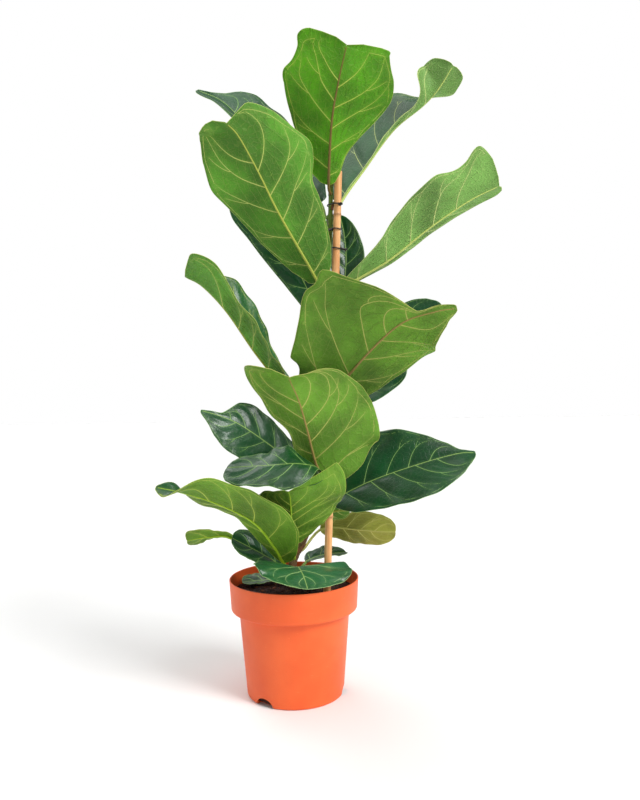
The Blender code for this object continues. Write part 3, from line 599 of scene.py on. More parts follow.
def rods_piece(name, strands, sides, material, attributes=()):
    """Tubes along strands, each a list of points, a list of radii, and its values of the attributes."""
    data = bpy.data.meshes.new(name)
    verts, edges, radii = [], [], []
    values = {key: [] for key in attributes}
    for strand in strands:
        first = len(verts)
        verts += [tuple(point) for point in strand[0]]
        edges += [(first + i, first + i + 1) for i in range(len(strand[0]) - 1)]
        radii += list(strand[1])
        for key, value in zip(attributes, strand[2:]):
            values[key] += [value] * len(strand[0])
    data.from_pydata(verts, edges, [])
    give_points(data, "thickness", radii)
    for key in attributes:
        give_points(data, key, values[key])
    item = placed(name, data)
    grown(item, rod_tree, Sides=sides, Material=material)
    item.data.shade_smooth()
    return item


def joined(name, items):
    """Several meshes made one object."""
    with bpy.context.temp_override(active_object=items[0], selected_editable_objects=items):
        bpy.ops.object.join()
    items[0].name = name
    items[0].data.name = name
    return items[0]


def stem_bark():
    finish = Finish("stem_bark", Specular_IOR_Level=0.35)
    where = finish.place()
    height = finish.node("SeparateXYZ", {}, {"Vector": where}, "Z")
    fibres = finish.mottle(finish.place((900.0, 900.0, 60.0)), 1.0, 4.0)
    patches = finish.mottle(where, 45.0, 3.0)
    woody = 1 - (height + patches * 0.12).between(0.24, 0.46)
    pores = finish.mottle(finish.place((420.0, 420.0, 160.0)), 1.0, 1.0).between(0.62, 0.70)
    bark = finish.mix(fibres, srgb(88, 62, 42), srgb(128, 98, 68))
    young = finish.mix(patches, srgb(78, 118, 38), srgb(120, 142, 60))
    colour = finish.mix(woody, young, bark)
    colour = finish.mix(pores * 0.6, colour, srgb(176, 158, 122))
    relief = finish.bump(fibres * (0.3 + woody * 0.7), 0.0008)
    relief = finish.bump(pores, 0.0003, relief)
    finish.give(Base_Color=colour, Roughness=0.5 + woody * 0.3, Normal=relief)
    return finish.material


def papery_sheath():
    finish = Finish("papery_sheath", Specular_IOR_Level=0.3, Roughness=0.75)
    streaks = finish.mottle(finish.place((600.0, 600.0, 80.0)), 1.0, 4.0)
    colour = finish.mix(streaks, srgb(96, 62, 42), srgb(158, 118, 82))
    finish.give(Base_Color=colour, Normal=finish.bump(streaks, 0.0004))
    return finish.material


def stem_radius(height):
    low, high = STEM_PATH[0][2], STEM_PATH[-1][2]
    return float(np.interp(height, (low, high), (STEM_FOOT_RADIUS, STEM_TIP_RADIUS)))


stem_curve = smooth_path(STEM_PATH)


def stem_point(height):
    return np.array([np.interp(height, stem_curve[:, 2], stem_curve[:, axis]) for axis in range(3)])


def sheath(height, bearing, length, material):
    """A dry pointed scale that wraps part of the stem and stands off it towards its tip."""
    rows = columns = SHEATH_ROWS
    verts = []
    for side in (0.0, SHEATH_THICKNESS):
        for row in range(rows):
            share = row / (rows - 1)
            centre = stem_point(height + length * share)
            radius = stem_radius(height) + SHEATH_GAP + SHEATH_FLARE * share ** 2 + side
            spread = math.radians(SHEATH_WRAP) * (1.0 - share) ** 0.7 + 0.06
            for column in range(columns):
                angle = math.radians(bearing) + spread * (column / (columns - 1) - 0.5)
                verts.append(centre + radius * np.array((math.cos(angle), math.sin(angle), 0.0)))
    faces = []
    layer = rows * columns
    for row in range(rows - 1):
        for column in range(columns - 1):
            here = row * columns + column
            quad = (here, here + 1, here + columns + 1, here + columns)
            faces.append(tuple(index + layer for index in quad))
            faces.append(quad[::-1])
    rim = list(range(columns)) + [row * columns + columns - 1 for row in range(1, rows)]
    rim += [(rows - 1) * columns + column for column in range(columns - 2, -1, -1)]
    rim += [row * columns for row in range(rows - 2, 0, -1)]
    for one, two in zip(rim, rim[1:] + rim[:1]):
        faces.append((one, two, two + layer, one + layer))
    return mesh_object("sheath", verts, faces, [material])


stem_heights = np.concatenate((np.arange(STEM_PATH[0][2], STEM_PATH[-1][2], STEM_STEP), [STEM_PATH[-1][2]]))
stem_radii = [stem_radius(height) + sum(STEM_NODE_SWELL * math.exp(-((height - node) / STEM_NODE_REACH) ** 2)
                                        for node in STEM_NODES) for height in stem_heights]
bud_shares = np.linspace(0.0, 1.0, 16)
bud_foot = stem_point(STEM_PATH[-1][2])
bud_points = [bud_foot + np.array((0.003 * share, -0.002 * share, BUD_LENGTH * share))
              for share in bud_shares]
bud_radii = [0.0036 * (1.0 - share) ** 0.75 * (1.0 + 0.5 * math.sin(math.pi * share)) + 0.0002
             for share in bud_shares]
bark = stem_bark()
sheath_finish = papery_sheath()
stem_parts = [rods_piece("stem", [([stem_point(height) for height in stem_heights], stem_radii),
                                  (bud_points, bud_radii)], 20, bark)]
stem_parts += [sheath(*values, sheath_finish) for values in SHEATHS]
stem = joined("fig_stem", stem_parts)
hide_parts("stem")
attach(stem, "root")


# ---------------------------------------------------------------- bamboo cane
# A straight split-free bamboo cane, 11 mm thick, pushed into the soil to hold the stem up.  It has a
# raised ring at each joint, fine lengthwise fibres and a sawn top.
CANE_FOOT = (0.0430, -0.0372, 0.030)
CANE_TOP = (0.0745, -0.0100, 0.760)
CANE_RADIUS = 0.0055
CANE_NODE_SPACING = 0.145
CANE_NODE_SWELL = 0.0006
# Where the cane is cut into rings near a joint, measured from the joint.
JOINT_STEPS = (-0.07, -0.035, -0.012, -0.006, -0.003, -0.0016, -0.0008, 0.0, 0.0007, 0.0014, 0.0022, 0.0035,
               0.006, 0.012, 0.035)


def cane_point(height):
    share = (height - CANE_FOOT[2]) / (CANE_TOP[2] - CANE_FOOT[2])
    return np.array(CANE_FOOT) * (1.0 - share) + np.array(CANE_TOP) * share


def bamboo():
    finish = Finish("bamboo", Specular_IOR_Level=0.45)
    where = finish.place()
    fibres = finish.mottle(finish.place((1500.0, 1500.0, 25.0)), 1.0, 4.0)
    streaks = finish.mottle(finish.place((260.0, 260.0, 9.0)), 1.0, 3.0)
    stains = finish.mottle(where, 38.0, 4.0).between(0.55, 0.75)
    joint = finish.node("Attribute", {"attribute_name": "joint"}, {}, "Fac")
    colour = finish.mix(streaks.between(0.3, 0.7), srgb(240, 186, 126), srgb(214, 150, 92))
    colour = finish.mix(fibres.between(0.5, 0.8) * 0.35, colour, srgb(170, 108, 62))
    colour = finish.mix(stains * 0.3, colour, srgb(160, 104, 64))
    colour = finish.mix(joint * 0.6, colour, srgb(122, 78, 44))
    relief = finish.bump(fibres, 0.00012)
    finish.give(Base_Color=colour, Roughness=0.36 + fibres * 0.16, Normal=relief)
    return finish.material


cane_nodes = np.arange(CANE_FOOT[2] + CANE_NODE_SPACING * 0.6, CANE_TOP[2] - 0.02, CANE_NODE_SPACING)
cane_heights = [CANE_FOOT[2], CANE_FOOT[2] + 0.0005]
for node in cane_nodes:
    cane_heights += list(node + np.array(JOINT_STEPS))
cane_heights = sorted(height for height in cane_heights if height >= CANE_FOOT[2])
cane_heights += [CANE_TOP[2] - 0.010, CANE_TOP[2] - 0.0006, CANE_TOP[2]]


def cane_thickness(height):
    """A ring at each joint, the groove below it, and a slightly thinner edge at both cut ends."""
    gap = min(cane_nodes - height, key=abs)
    ring = CANE_NODE_SWELL * math.exp(-(gap / 0.0016) ** 2)
    groove = -0.0004 * math.exp(-((gap - 0.0035) / 0.0014) ** 2)
    edge = -0.0005 if height in (CANE_FOOT[2], CANE_TOP[2]) else 0.0
    return CANE_RADIUS - 0.0001 + ring + groove + edge


bamboo_finish = bamboo()
cane = rods_piece("bamboo_cane", [([cane_point(height) for height in cane_heights],
                                   [cane_thickness(height) for height in cane_heights])], 32, bamboo_finish)
joint_values = [max(0.0, math.exp(-(min(abs(cane_nodes - vert.co.z)) / 0.0022) ** 2))
                for vert in cane.data.vertices]
give_points(cane.data, "joint", joint_values)
sharpen(cane)
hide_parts("cane")
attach(cane, "root")


# ---------------------------------------------------------------- plant ties
# Three loops of dark plastic-coated wire hold the stem to the cane, each closed by twisting its two
# ends together on one side.
TIE_WIRE_RADIUS = 0.0009
TIE_HEIGHTS = {"tie_lower": 0.648, "tie_middle": 0.676, "tie_upper": 0.712}
TIE_GAP = 0.0004
TIE_WAVER = 0.0006
TIE_ARC_STEPS = 12
TWIST_LENGTH = 0.010
TWIST_TURNS = 2.5
TWIST_POINTS = 25
TWIST_BEARINGS = (-20.0, 200.0, -75.0)


def coated_wire():
    finish = Finish("coated_wire", Specular_IOR_Level=0.5)
    rub = finish.mottle(finish.place(), 500.0, 2.0)
    colour = finish.mix(rub.between(0.5, 0.75), srgb(34, 32, 30), srgb(70, 66, 58))
    finish.give(Base_Color=colour, Roughness=0.38 + rub * 0.2, Normal=finish.bump(rub, 0.0001))
    return finish.material


def tie_strands(height, bearing):
    """The loop round stem and cane, then both ends twisted about a line that leaves it at a bearing."""
    cane_centre, stem_centre = cane_point(height), stem_point(height)
    way = (stem_centre - cane_centre)[:2]
    heading = math.atan2(way[1], way[0])
    loop = []
    for centre, radius, start in ((cane_centre, CANE_RADIUS, 90.0),
                                  (stem_centre, stem_radius(height), -90.0)):
        for step in range(TIE_ARC_STEPS + 1):
            angle = heading + math.radians(start + 180.0 * step / TIE_ARC_STEPS)
            reach = radius + TIE_WIRE_RADIUS + TIE_GAP
            loop.append((centre[0] + math.cos(angle) * reach, centre[1] + math.sin(angle) * reach,
                         height + TIE_WAVER * math.sin(angle * 2)))
    loop.append(loop[0])
    out = np.array((math.cos(math.radians(bearing)), math.sin(math.radians(bearing)), -0.35))
    out /= np.linalg.norm(out)
    across = np.cross(out, (0.0, 0.0, 1.0))
    across /= np.linalg.norm(across)
    up = np.cross(across, out)
    foot = cane_centre + np.array((out[0], out[1], 0.0)) * (CANE_RADIUS + TIE_WIRE_RADIUS)
    strands = [(loop, [TIE_WIRE_RADIUS] * len(loop))]
    for side in (0.0, math.pi):
        points = []
        for share in np.linspace(0.0, 1.0, TWIST_POINTS):
            angle = side + math.tau * TWIST_TURNS * share
            spread = TIE_WIRE_RADIUS * (1.0 + 2.2 * max(0.0, share - 0.8) / 0.2)
            points.append(foot + out * TWIST_LENGTH * share
                          + (across * math.cos(angle) + up * math.sin(angle)) * spread)
        strands.append((points, [TIE_WIRE_RADIUS * 0.9] * len(points)))
    return strands


wire_finish = coated_wire()
for (tie_name, tie_height), bearing in zip(TIE_HEIGHTS.items(), TWIST_BEARINGS):
    tie = rods_piece("plant_" + tie_name, tie_strands(tie_height, bearing), 10, wire_finish)
    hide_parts(tie_name)
    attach(tie, "root")


# ---------------------------------------------------------------- leaves
# Twenty-three leathery leaves, each grown in one piece with its stalk.  The upper side is dark and
# waxy and puffs up between sunken pale veins.  The underside is lighter and matt, and the midrib, the
# side veins and the net between them stand out of it.  A thin pale seam runs round the margin.
PETIOLE_RADIUS = 0.0024
PETIOLE_STUB = 0.006
PETIOLE_GAP = 0.0012
BLADE_THICKNESS = 0.0006
ROWS_ALONG = 80
HALF_COLUMNS = 22
PILLOW = 0.0016
PILLOW_REACH = 0.0080
NEAR_VEIN_REACH = 0.0035
VEIN_SINK = 0.00030                      # how far a vein's surface stands out of the underside
MARGIN_RADIUS = 0.00036
MARGIN_ORDER = 0.8
CREASE_SHARE = 0.10                      # the part of each half that the fold at the midrib takes up
OUTLINE_STEPS = 8
TIP_CLOSING = 0.025
BASE_OPENING = 0.012
LEAST_FULLNESS = 0.004
BASE_LOBE = 0.006
BASE_LOBE_REACH = 0.03
FULL_WAVE_WIDTH = 0.06                   # narrower blades have proportionally lower ripples
WAVE_PITCH = 13.0
FINE_WAVE_PITCH = 37.0
FINE_WAVE = 0.4
WAVE_PHASE = 1.7
SPINE_POINTS = 60
SIDE_VEIN_POINTS = 24
LADDER_RUNGS = 4
# Start radius, end radius and order of each kind of vein, from 0 for the midrib to 1 for the finest.
MIDRIB = (0.0021, 0.0006, 0.0)
SIDE_VEIN = (0.00080, 0.00030, 0.4)
FORK_VEIN = (0.00052, 0.00032, 0.6)
LOOP_VEIN = (0.00042, 0.00036, 0.7)
LADDER_VEIN = (0.00024, 0.00020, 1.0)

OUTLINES = {
    "fiddle": [(0.0, 0.16), (0.05, 0.38), (0.14, 0.50), (0.30, 0.60), (0.50, 0.84), (0.68, 1.0),
               (0.82, 0.97), (0.92, 0.78), (0.975, 0.48), (1.0, 0.10)],
    "blunt": [(0.0, 0.15), (0.10, 0.34), (0.30, 0.55), (0.50, 0.75), (0.70, 0.90), (0.85, 1.0),
              (0.94, 0.90), (0.98, 0.60), (1.0, 0.12)],
    "broad": [(0.0, 0.20), (0.04, 0.52), (0.12, 0.72), (0.26, 0.82), (0.45, 0.95), (0.62, 1.0),
              (0.78, 0.92), (0.90, 0.70), (0.97, 0.40), (1.0, 0.08)],
    "round": [(0.0, 0.25), (0.05, 0.62), (0.14, 0.88), (0.28, 1.0), (0.50, 1.0), (0.70, 0.90),
              (0.85, 0.68), (0.94, 0.42), (1.0, 0.08)],
    "basal": [(0.0, 0.35), (0.05, 0.72), (0.14, 0.95), (0.28, 1.0), (0.45, 0.82), (0.60, 0.60),
              (0.75, 0.44), (0.84, 0.36), (0.92, 0.24), (0.97, 0.12), (1.0, 0.04)],
    "square": [(0.0, 0.15), (0.10, 0.36), (0.30, 0.58), (0.50, 0.78), (0.70, 0.93), (0.90, 1.0),
               (0.985, 0.95), (1.0, 0.60)],
    "crown_near": [(0.0, 0.10), (0.06, 0.20), (0.20, 0.30), (0.30, 0.46), (0.45, 0.74), (0.60, 0.95),
                   (0.70, 1.0), (0.80, 0.96), (0.88, 0.86), (0.95, 0.78), (0.985, 0.72), (1.0, 0.12)],
    "crown_far": [(0.0, 0.12), (0.06, 0.32), (0.24, 0.50), (0.46, 0.76), (0.62, 0.95), (0.70, 1.0),
                  (0.78, 0.88), (0.86, 0.84), (0.93, 0.88), (0.98, 0.70), (1.0, 0.10)],
    "bulged": [(0.0, 0.20), (0.04, 0.36), (0.12, 0.50), (0.26, 0.64), (0.40, 0.74), (0.52, 0.77),
               (0.61, 0.92), (0.69, 1.0), (0.78, 0.88), (0.90, 0.70), (0.97, 0.45), (1.0, 0.08)],
    "lobed": [(0.0, 0.15), (0.10, 0.36), (0.30, 0.58), (0.50, 0.80), (0.65, 1.0), (0.80, 0.88),
              (0.90, 0.68), (0.96, 0.50), (0.99, 0.30), (1.0, 0.10)],
    "late_lobe": [(0.0, 0.20), (0.05, 0.42), (0.12, 0.62), (0.25, 0.74), (0.35, 0.85), (0.45, 0.98),
                  (0.53, 0.96), (0.59, 1.0), (0.64, 0.76), (0.70, 0.48), (0.75, 0.22), (0.80, 0.06),
                  (0.90, 0.06), (1.0, 0.04)],
    "low_belly": [(0.0, 0.20), (0.05, 0.48), (0.15, 0.66), (0.30, 0.82), (0.45, 0.96), (0.60, 1.0),
                  (0.72, 0.94), (0.82, 0.66), (0.90, 0.36), (0.96, 0.16), (1.0, 0.04)],
    "waisted": [(0.0, 0.15), (0.10, 0.36), (0.25, 0.45), (0.40, 0.47), (0.50, 0.54), (0.60, 0.80),
                (0.75, 0.92), (0.88, 1.0), (0.96, 0.97), (0.99, 0.75), (1.0, 0.10)],
    "wavy": [(0.0, 0.15), (0.10, 0.30), (0.30, 0.52), (0.45, 0.66), (0.60, 0.58), (0.70, 0.58),
             (0.80, 0.88), (0.88, 1.0), (0.95, 0.98), (0.98, 0.80), (1.0, 0.10)],
    "abrupt": [(0.0, 0.30), (0.10, 0.60), (0.30, 0.85), (0.50, 0.95), (0.62, 1.0), (0.70, 0.85),
               (0.76, 0.45), (0.82, 0.16), (0.92, 0.08), (1.0, 0.04)],
    "deep_heart": [(0.0, 0.20), (0.05, 0.45), (0.12, 0.65), (0.30, 0.86), (0.48, 1.0), (0.62, 0.96),
                   (0.75, 0.80), (0.86, 0.58), (0.94, 0.32), (1.0, 0.04)],
    "hooded": [(0.0, 0.20), (0.10, 0.55), (0.30, 0.85), (0.50, 0.98), (0.68, 1.0), (0.76, 0.92),
               (0.81, 0.66), (0.85, 0.28), (0.90, 0.10), (0.95, 0.06), (1.0, 0.04)],
    "flipped": [(0.0, 0.20), (0.05, 0.45), (0.20, 0.75), (0.40, 0.95), (0.58, 1.0), (0.68, 0.80),
                (0.78, 0.42), (0.88, 0.40), (0.96, 0.38), (1.0, 0.10)],
    "late": [(0.0, 0.08), (0.10, 0.16), (0.30, 0.24), (0.50, 0.34), (0.62, 0.55), (0.75, 0.90),
             (0.86, 1.0), (0.95, 0.80), (1.0, 0.08)],
    "tucked": [(0.0, 0.15), (0.10, 0.34), (0.30, 0.55), (0.50, 0.75), (0.65, 0.90), (0.75, 0.92),
               (0.82, 0.70), (0.90, 0.45), (0.97, 0.30), (1.0, 0.10)],
    "low_broad": [(0.0, 0.20), (0.04, 0.52), (0.12, 0.72), (0.26, 0.86), (0.40, 0.90), (0.50, 0.70),
                  (0.60, 0.50), (0.70, 0.36), (0.80, 0.30), (0.90, 0.28), (0.97, 0.22), (1.0, 0.08)],
    "arched": [(0.0, 0.20), (0.05, 0.40), (0.15, 0.64), (0.30, 0.90), (0.42, 1.0), (0.52, 0.88),
               (0.64, 0.80), (0.78, 0.74), (0.88, 0.42), (0.96, 0.18), (1.0, 0.04)],
    "notched": [(0.0, 0.10), (0.10, 0.24), (0.20, 0.38), (0.30, 0.50), (0.45, 0.68), (0.60, 0.84),
                (0.72, 0.92), (0.80, 0.78), (0.86, 0.80), (0.93, 1.0), (0.98, 0.62), (1.0, 0.12)],
    "tapered": [(0.0, 0.20), (0.05, 0.52), (0.15, 0.74), (0.30, 0.90), (0.50, 1.0), (0.66, 0.94),
                (0.78, 0.76), (0.88, 0.46), (0.95, 0.22), (1.0, 0.04)],
    "draped": [(0.0, 0.08), (0.12, 0.12), (0.20, 0.24), (0.28, 0.54), (0.38, 0.90), (0.50, 1.0),
               (0.65, 0.94), (0.80, 0.80), (0.92, 0.60), (0.97, 0.38), (1.0, 0.08)],
    "stepped": [(0.0, 0.30), (0.05, 0.66), (0.14, 0.90), (0.30, 1.0), (0.48, 0.92), (0.62, 0.72),
                (0.74, 0.48), (0.83, 0.28), (0.89, 0.10), (0.95, 0.05), (1.0, 0.04)],
}

# Leaf colours: upper side, underside, veins and midrib.
TONES = {
    # The crown tone's vivid lime greens are partly the young leaf's own colour and partly painted light: they
    # stand in for light shining through the thin blade.
    "crown": (srgb(66, 128, 20), srgb(78, 146, 14), srgb(172, 196, 76), srgb(116, 96, 44)),
    "fresh": (srgb(26, 92, 38), srgb(82, 140, 42), srgb(186, 200, 104), srgb(170, 180, 72)),
    "pale": (srgb(26, 88, 40), srgb(122, 172, 84), srgb(200, 216, 136), srgb(196, 212, 112)),
    "centre": (srgb(20, 74, 34), srgb(98, 146, 46), srgb(188, 196, 100), srgb(156, 134, 72)),
    "low": (srgb(20, 76, 34), srgb(98, 144, 44), srgb(180, 196, 86), srgb(158, 196, 44)),
    # The rim tone's lighter grey-green upper side is partly the leaf's own colour and partly a painted bluish
    # sheen that stands in for light from above reflected off it.
    "rim": (srgb(44, 98, 58), srgb(70, 124, 48), srgb(150, 186, 118), srgb(150, 182, 104)),
    "dark": (srgb(10, 68, 32), srgb(70, 124, 48), srgb(126, 168, 92), srgb(140, 174, 88)),
    "olive": (srgb(60, 100, 36), srgb(146, 152, 62), srgb(196, 196, 100), srgb(186, 186, 96)),
}

# One row for each leaf.  "height" is where the petiole leaves the stem.  "path" runs along the midrib:
# the blade's base, points between, and its tip.  "upper" is the way the upper side faces at the base and,
# where the blade twists, "upper_tip" at the tip.  Left and right are as seen from the upper side with
# the tip pointing away: outline, half-widths, the fold of each half up from flat, and its curl further
# out, in degrees.  "shoulder" pushes the sides forward past the midrib's end, as a share of the length,
# and "ear" lengthens the left side's outer corner, in metres.  "wave" is the height of the ripples,
# "twist" the shares of the length where "upper" starts and ends turning into "upper_tip", "tone" the
# colours and "veins" the number of side veins on each side.
Leaf = namedtuple("Leaf", "name height path upper upper_tip outline left right fold curl shoulder wave "
                          "tone veins ear twist")


def leaf(name, height, path, upper, left, right, fold=(12, 12), curl=(0, 0), outline="fiddle",
         upper_tip=None, shoulder=0.05, wave=0.003, tone="fresh", veins=5, ear=0.0,
         twist=(0.0, 1.0)):
    outlines = (outline, outline) if isinstance(outline, str) else outline
    shoulder = shoulder if isinstance(shoulder, tuple) else (shoulder, shoulder)
    return Leaf(name, height, path, upper, upper_tip or upper, outlines, left, right, fold, curl,
                shoulder, wave, tone, veins, ear, twist)


LEAVES = [
    leaf("leaf_crown", 0.728, [(0.060, -0.026, 0.742), (0.065, -0.050, 0.815), (0.075, -0.070, 0.865),
                               (0.086, -0.080, 0.908)], tone="crown",
         upper=(0.05, 1.0, 0.25), left=0.081, right=0.080, fold=(20, 12), shoulder=(0.10, 0.12),
         outline=("crown_near", "crown_far")),
    leaf("leaf_upper_left", 0.580, [(0.040, -0.025, 0.603), (-0.010, -0.055, 0.690), (-0.035, -0.075, 0.740),
                                    (-0.060, -0.090, 0.785), (-0.075, -0.100, 0.800)],
         upper=(0.1, 1.0, 0.35), left=0.084, right=0.072, fold=(12, 8), curl=(20, 0),
         outline=("bulged", "lobed"), shoulder=(0.02, 0.18)),
    leaf("leaf_far_left", 0.697, [(0.045, 0.012, 0.725), (-0.005, 0.028, 0.785), (-0.065, 0.042, 0.850),
                                  (-0.100, 0.047, 0.885), (-0.135, 0.045, 0.900)], tone="dark",
         upper=(0.55, -0.75, 0.35), left=0.018, right=0.062, fold=(10, 10), outline=("broad", "hooded")),
    leaf("leaf_back_left", 0.520, [(0.045, 0.022, 0.550), (0.015, 0.035, 0.620), (-0.025, 0.045, 0.700),
                                   (-0.055, 0.050, 0.750)], tone="dark",
         upper=(-0.2, -0.97, 0.12), left=0.050, right=0.050, outline=("blunt", "broad")),
    leaf("leaf_upper_right", 0.690, [(0.080, 0.015, 0.725), (0.115, 0.030, 0.775), (0.160, 0.042, 0.835),
                                     (0.205, 0.040, 0.870), (0.228, 0.030, 0.892), (0.247, 0.020, 0.920)],
         upper=(-0.45, -0.75, 0.45), upper_tip=(-0.4, 0.75, 0.5), left=0.074, right=0.042, fold=(5, 60),
         outline=("flipped", "late"), tone="pale", twist=(0.62, 0.88)),
    leaf("leaf_centre", 0.405, [(0.036, -0.040, 0.425), (0.060, -0.060, 0.440), (0.110, -0.085, 0.495),
                                (0.150, -0.125, 0.530), (0.190, -0.150, 0.542), (0.215, -0.160, 0.545)],
         upper=(0.08, 0.85, 0.52), upper_tip=(0.5, 0.75, 0.25), left=0.066, right=0.120, fold=(20, 5),
         outline=("low_belly", "late_lobe"), tone="centre"),
    leaf("leaf_front", 0.285, [(0.046, -0.048, 0.314), (0.035, -0.062, 0.345), (0.025, -0.084, 0.390),
                               (0.015, -0.105, 0.430), (0.005, -0.120, 0.455), (0.003, -0.130, 0.462)],
         upper=(0.0, 0.83, 0.54), left=0.096, right=0.055, fold=(12, 12), outline=("round", "waisted"),
         shoulder=(0.03, 0.20), tone="centre"),
    leaf("leaf_back_right", 0.395, [(0.075, 0.020, 0.430), (0.130, 0.040, 0.490), (0.185, 0.050, 0.540),
                                    (0.230, 0.050, 0.571)], tone="dark",
         upper=(-0.1, -0.95, 0.3), left=0.088, right=0.062, outline=("basal", "low_broad")),
    leaf("leaf_right", 0.560, [(0.080, 0.000, 0.592), (0.145, -0.010, 0.630), (0.205, -0.020, 0.675),
                               (0.260, -0.030, 0.710), (0.300, -0.035, 0.728)], tone="pale",
         upper=(-0.2, 0.9, 0.4), left=0.024, right=0.063, fold=(45, 5), outline=("blunt", "notched")),
    leaf("leaf_back", 0.545, [(0.075, 0.020, 0.575), (0.085, 0.040, 0.630), (0.084, 0.050, 0.675),
                              (0.078, 0.055, 0.710)], tone="dark",
         upper=(0.0, -0.96, 0.28), left=0.033, right=0.028, outline=("fiddle", "deep_heart")),
    leaf("leaf_mid_left", 0.410, [(0.002, -0.012, 0.437), (-0.045, -0.030, 0.495), (-0.085, -0.050, 0.555),
                                  (-0.117, -0.060, 0.590), (-0.140, -0.065, 0.603)],
         upper=(0.75, -0.1, 0.6), left=0.060, right=0.056, fold=(46, 48), outline=("wavy", "tucked")),
    leaf("leaf_left_dark", 0.275, [(0.010, 0.002, 0.330), (-0.025, -0.010, 0.360), (-0.070, -0.030, 0.395),
                                   (-0.100, -0.040, 0.410), (-0.125, -0.045, 0.418)], tone="dark",
         upper=(0.2, -0.75, 0.5), left=0.048, right=0.040, fold=(0, 0), outline=("low_belly", "abrupt")),
    leaf("leaf_low_front", 0.200, [(0.000, -0.036, 0.228), (0.000, -0.066, 0.270), (0.000, -0.090, 0.300),
                                   (-0.002, -0.097, 0.309)], tone="low",
         upper=(0.0, 0.77, 0.64), left=0.078, right=0.050, outline=("square", "broad"), shoulder=(0.0, 0.10),
         ear=0.028),
    leaf("leaf_low_left_dark", 0.250, [(0.042, -0.082, 0.329), (0.019, -0.118, 0.348),
                                       (-0.030, -0.118, 0.347), (-0.084, -0.092, 0.342)], tone="dark",
         upper=(0.1, -0.4, 0.9), left=0.040, right=0.036, fold=(-22, 8), outline=("draped", "broad"),
         wave=0.006),
    leaf("leaf_low_left", 0.180, [(-0.015, -0.030, 0.200), (-0.025, -0.050, 0.225), (-0.050, -0.080, 0.265),
                                  (-0.095, -0.105, 0.295), (-0.140, -0.115, 0.312), (-0.175, -0.115, 0.320)],
         upper=(0.3, 0.6, 0.75), upper_tip=(-0.2, -0.6, 0.7), left=0.060, right=0.036,
         outline=("arched", "tapered"), tone="low", twist=(0.70, 0.93)),
    leaf("leaf_small_left", 0.172, [(-0.085, -0.018, 0.230), (-0.120, -0.030, 0.236),
                                    (-0.150, -0.035, 0.232)],
         upper=(0.2, 0.6, 0.7), left=0.020, right=0.024, outline="blunt", tone="low", veins=3),
    leaf("leaf_under_left", 0.166, [(-0.022, -0.014, 0.190), (-0.042, -0.026, 0.208),
                                    (-0.085, -0.042, 0.236)],
         upper=(0.57, -0.48, 0.51), left=0.025, right=0.025, outline="broad", tone="dark", veins=3),
    leaf("leaf_rim_front", 0.170, [(0.006, -0.050, 0.195), (0.011, -0.066, 0.196), (0.017, -0.086, 0.190),
                                   (0.022, -0.104, 0.179)], tone="rim", veins=3,
         upper=(0.0, -0.3, 0.95), left=0.072, right=0.068, outline="round", fold=(-6, 20)),
    leaf("leaf_low_back_right", 0.178, [(0.022, 0.014, 0.190), (0.045, 0.030, 0.194), (0.078, 0.045, 0.194)],
         upper=(-0.1, -0.2, 0.97), left=0.022, right=0.020, outline="broad", tone="dark", veins=3),
    leaf("leaf_on_soil", 0.160, [(-0.030, 0.020, 0.160), (-0.055, 0.022, 0.158), (-0.078, 0.018, 0.158)],
         upper=(0.0, -0.2, 1.0), left=0.018, right=0.018, outline="broad", tone="dark", veins=3),
    leaf("leaf_low_right", 0.268, [(0.062, 0.002, 0.282), (0.115, -0.010, 0.310), (0.185, -0.020, 0.335),
                                   (0.240, -0.020, 0.349), (0.265, -0.020, 0.350)], tone="dark",
         upper=(-0.15, -0.75, 0.6), left=0.073, right=0.064, outline=("stepped", "deep_heart")),
    leaf("leaf_olive_right", 0.208, [(0.045, 0.044, 0.232), (0.100, 0.047, 0.228), (0.130, 0.050, 0.224),
                                     (0.155, 0.050, 0.223)], tone="olive", veins=4,
         upper=(0.0, 0.9, 0.4), left=0.032, right=0.030, outline="broad"),
    leaf("leaf_bright_back", 0.240, [(0.038, 0.012, 0.257), (0.062, 0.018, 0.262), (0.084, 0.020, 0.262)],
         upper=(0.0, 0.9, 0.4), left=0.019, right=0.017, outline="broad", veins=3),
]


def unit(rows):
    return rows / np.maximum(np.linalg.norm(rows, axis=-1, keepdims=True), 1e-9)


def outline_at(outline, shares):
    """How full a half of the blade is, from 0 to 1, at shares of its length; it closes at both ends."""
    places = [place for place, _ in outline]
    fine = smooth_path([(place, fullness, 0.0) for place, fullness in outline], OUTLINE_STEPS)
    ladder = np.arange(len(fine)) / OUTLINE_STEPS
    fullness = np.interp(np.interp(shares, places, np.arange(len(places))), ladder, fine[:, 1])
    past = ((shares - 1.0 + TIP_CLOSING) / TIP_CLOSING).clip(0.0)
    closing = np.sqrt(np.clip(1.0 - past ** 2, 0.0, 1.0))
    opening = np.sqrt(np.clip(shares / BASE_OPENING, 0.0, 1.0))
    return np.maximum(fullness * closing * opening, LEAST_FULLNESS)


def leaf_spines(row):
    """The petiole's and the blade's centre lines."""
    heart = stem_point(row.height)
    outward = np.array(row.path[0]) - heart
    outward[2] = 0.0
    outward = unit(outward)
    start = heart + outward * (stem_radius(row.height) + PETIOLE_GAP)
    curve = smooth_path([start, start + outward * PETIOLE_STUB] + list(row.path))
    base = 2 * PATH_STEPS
    return curve[:base + 1], curve[base:]


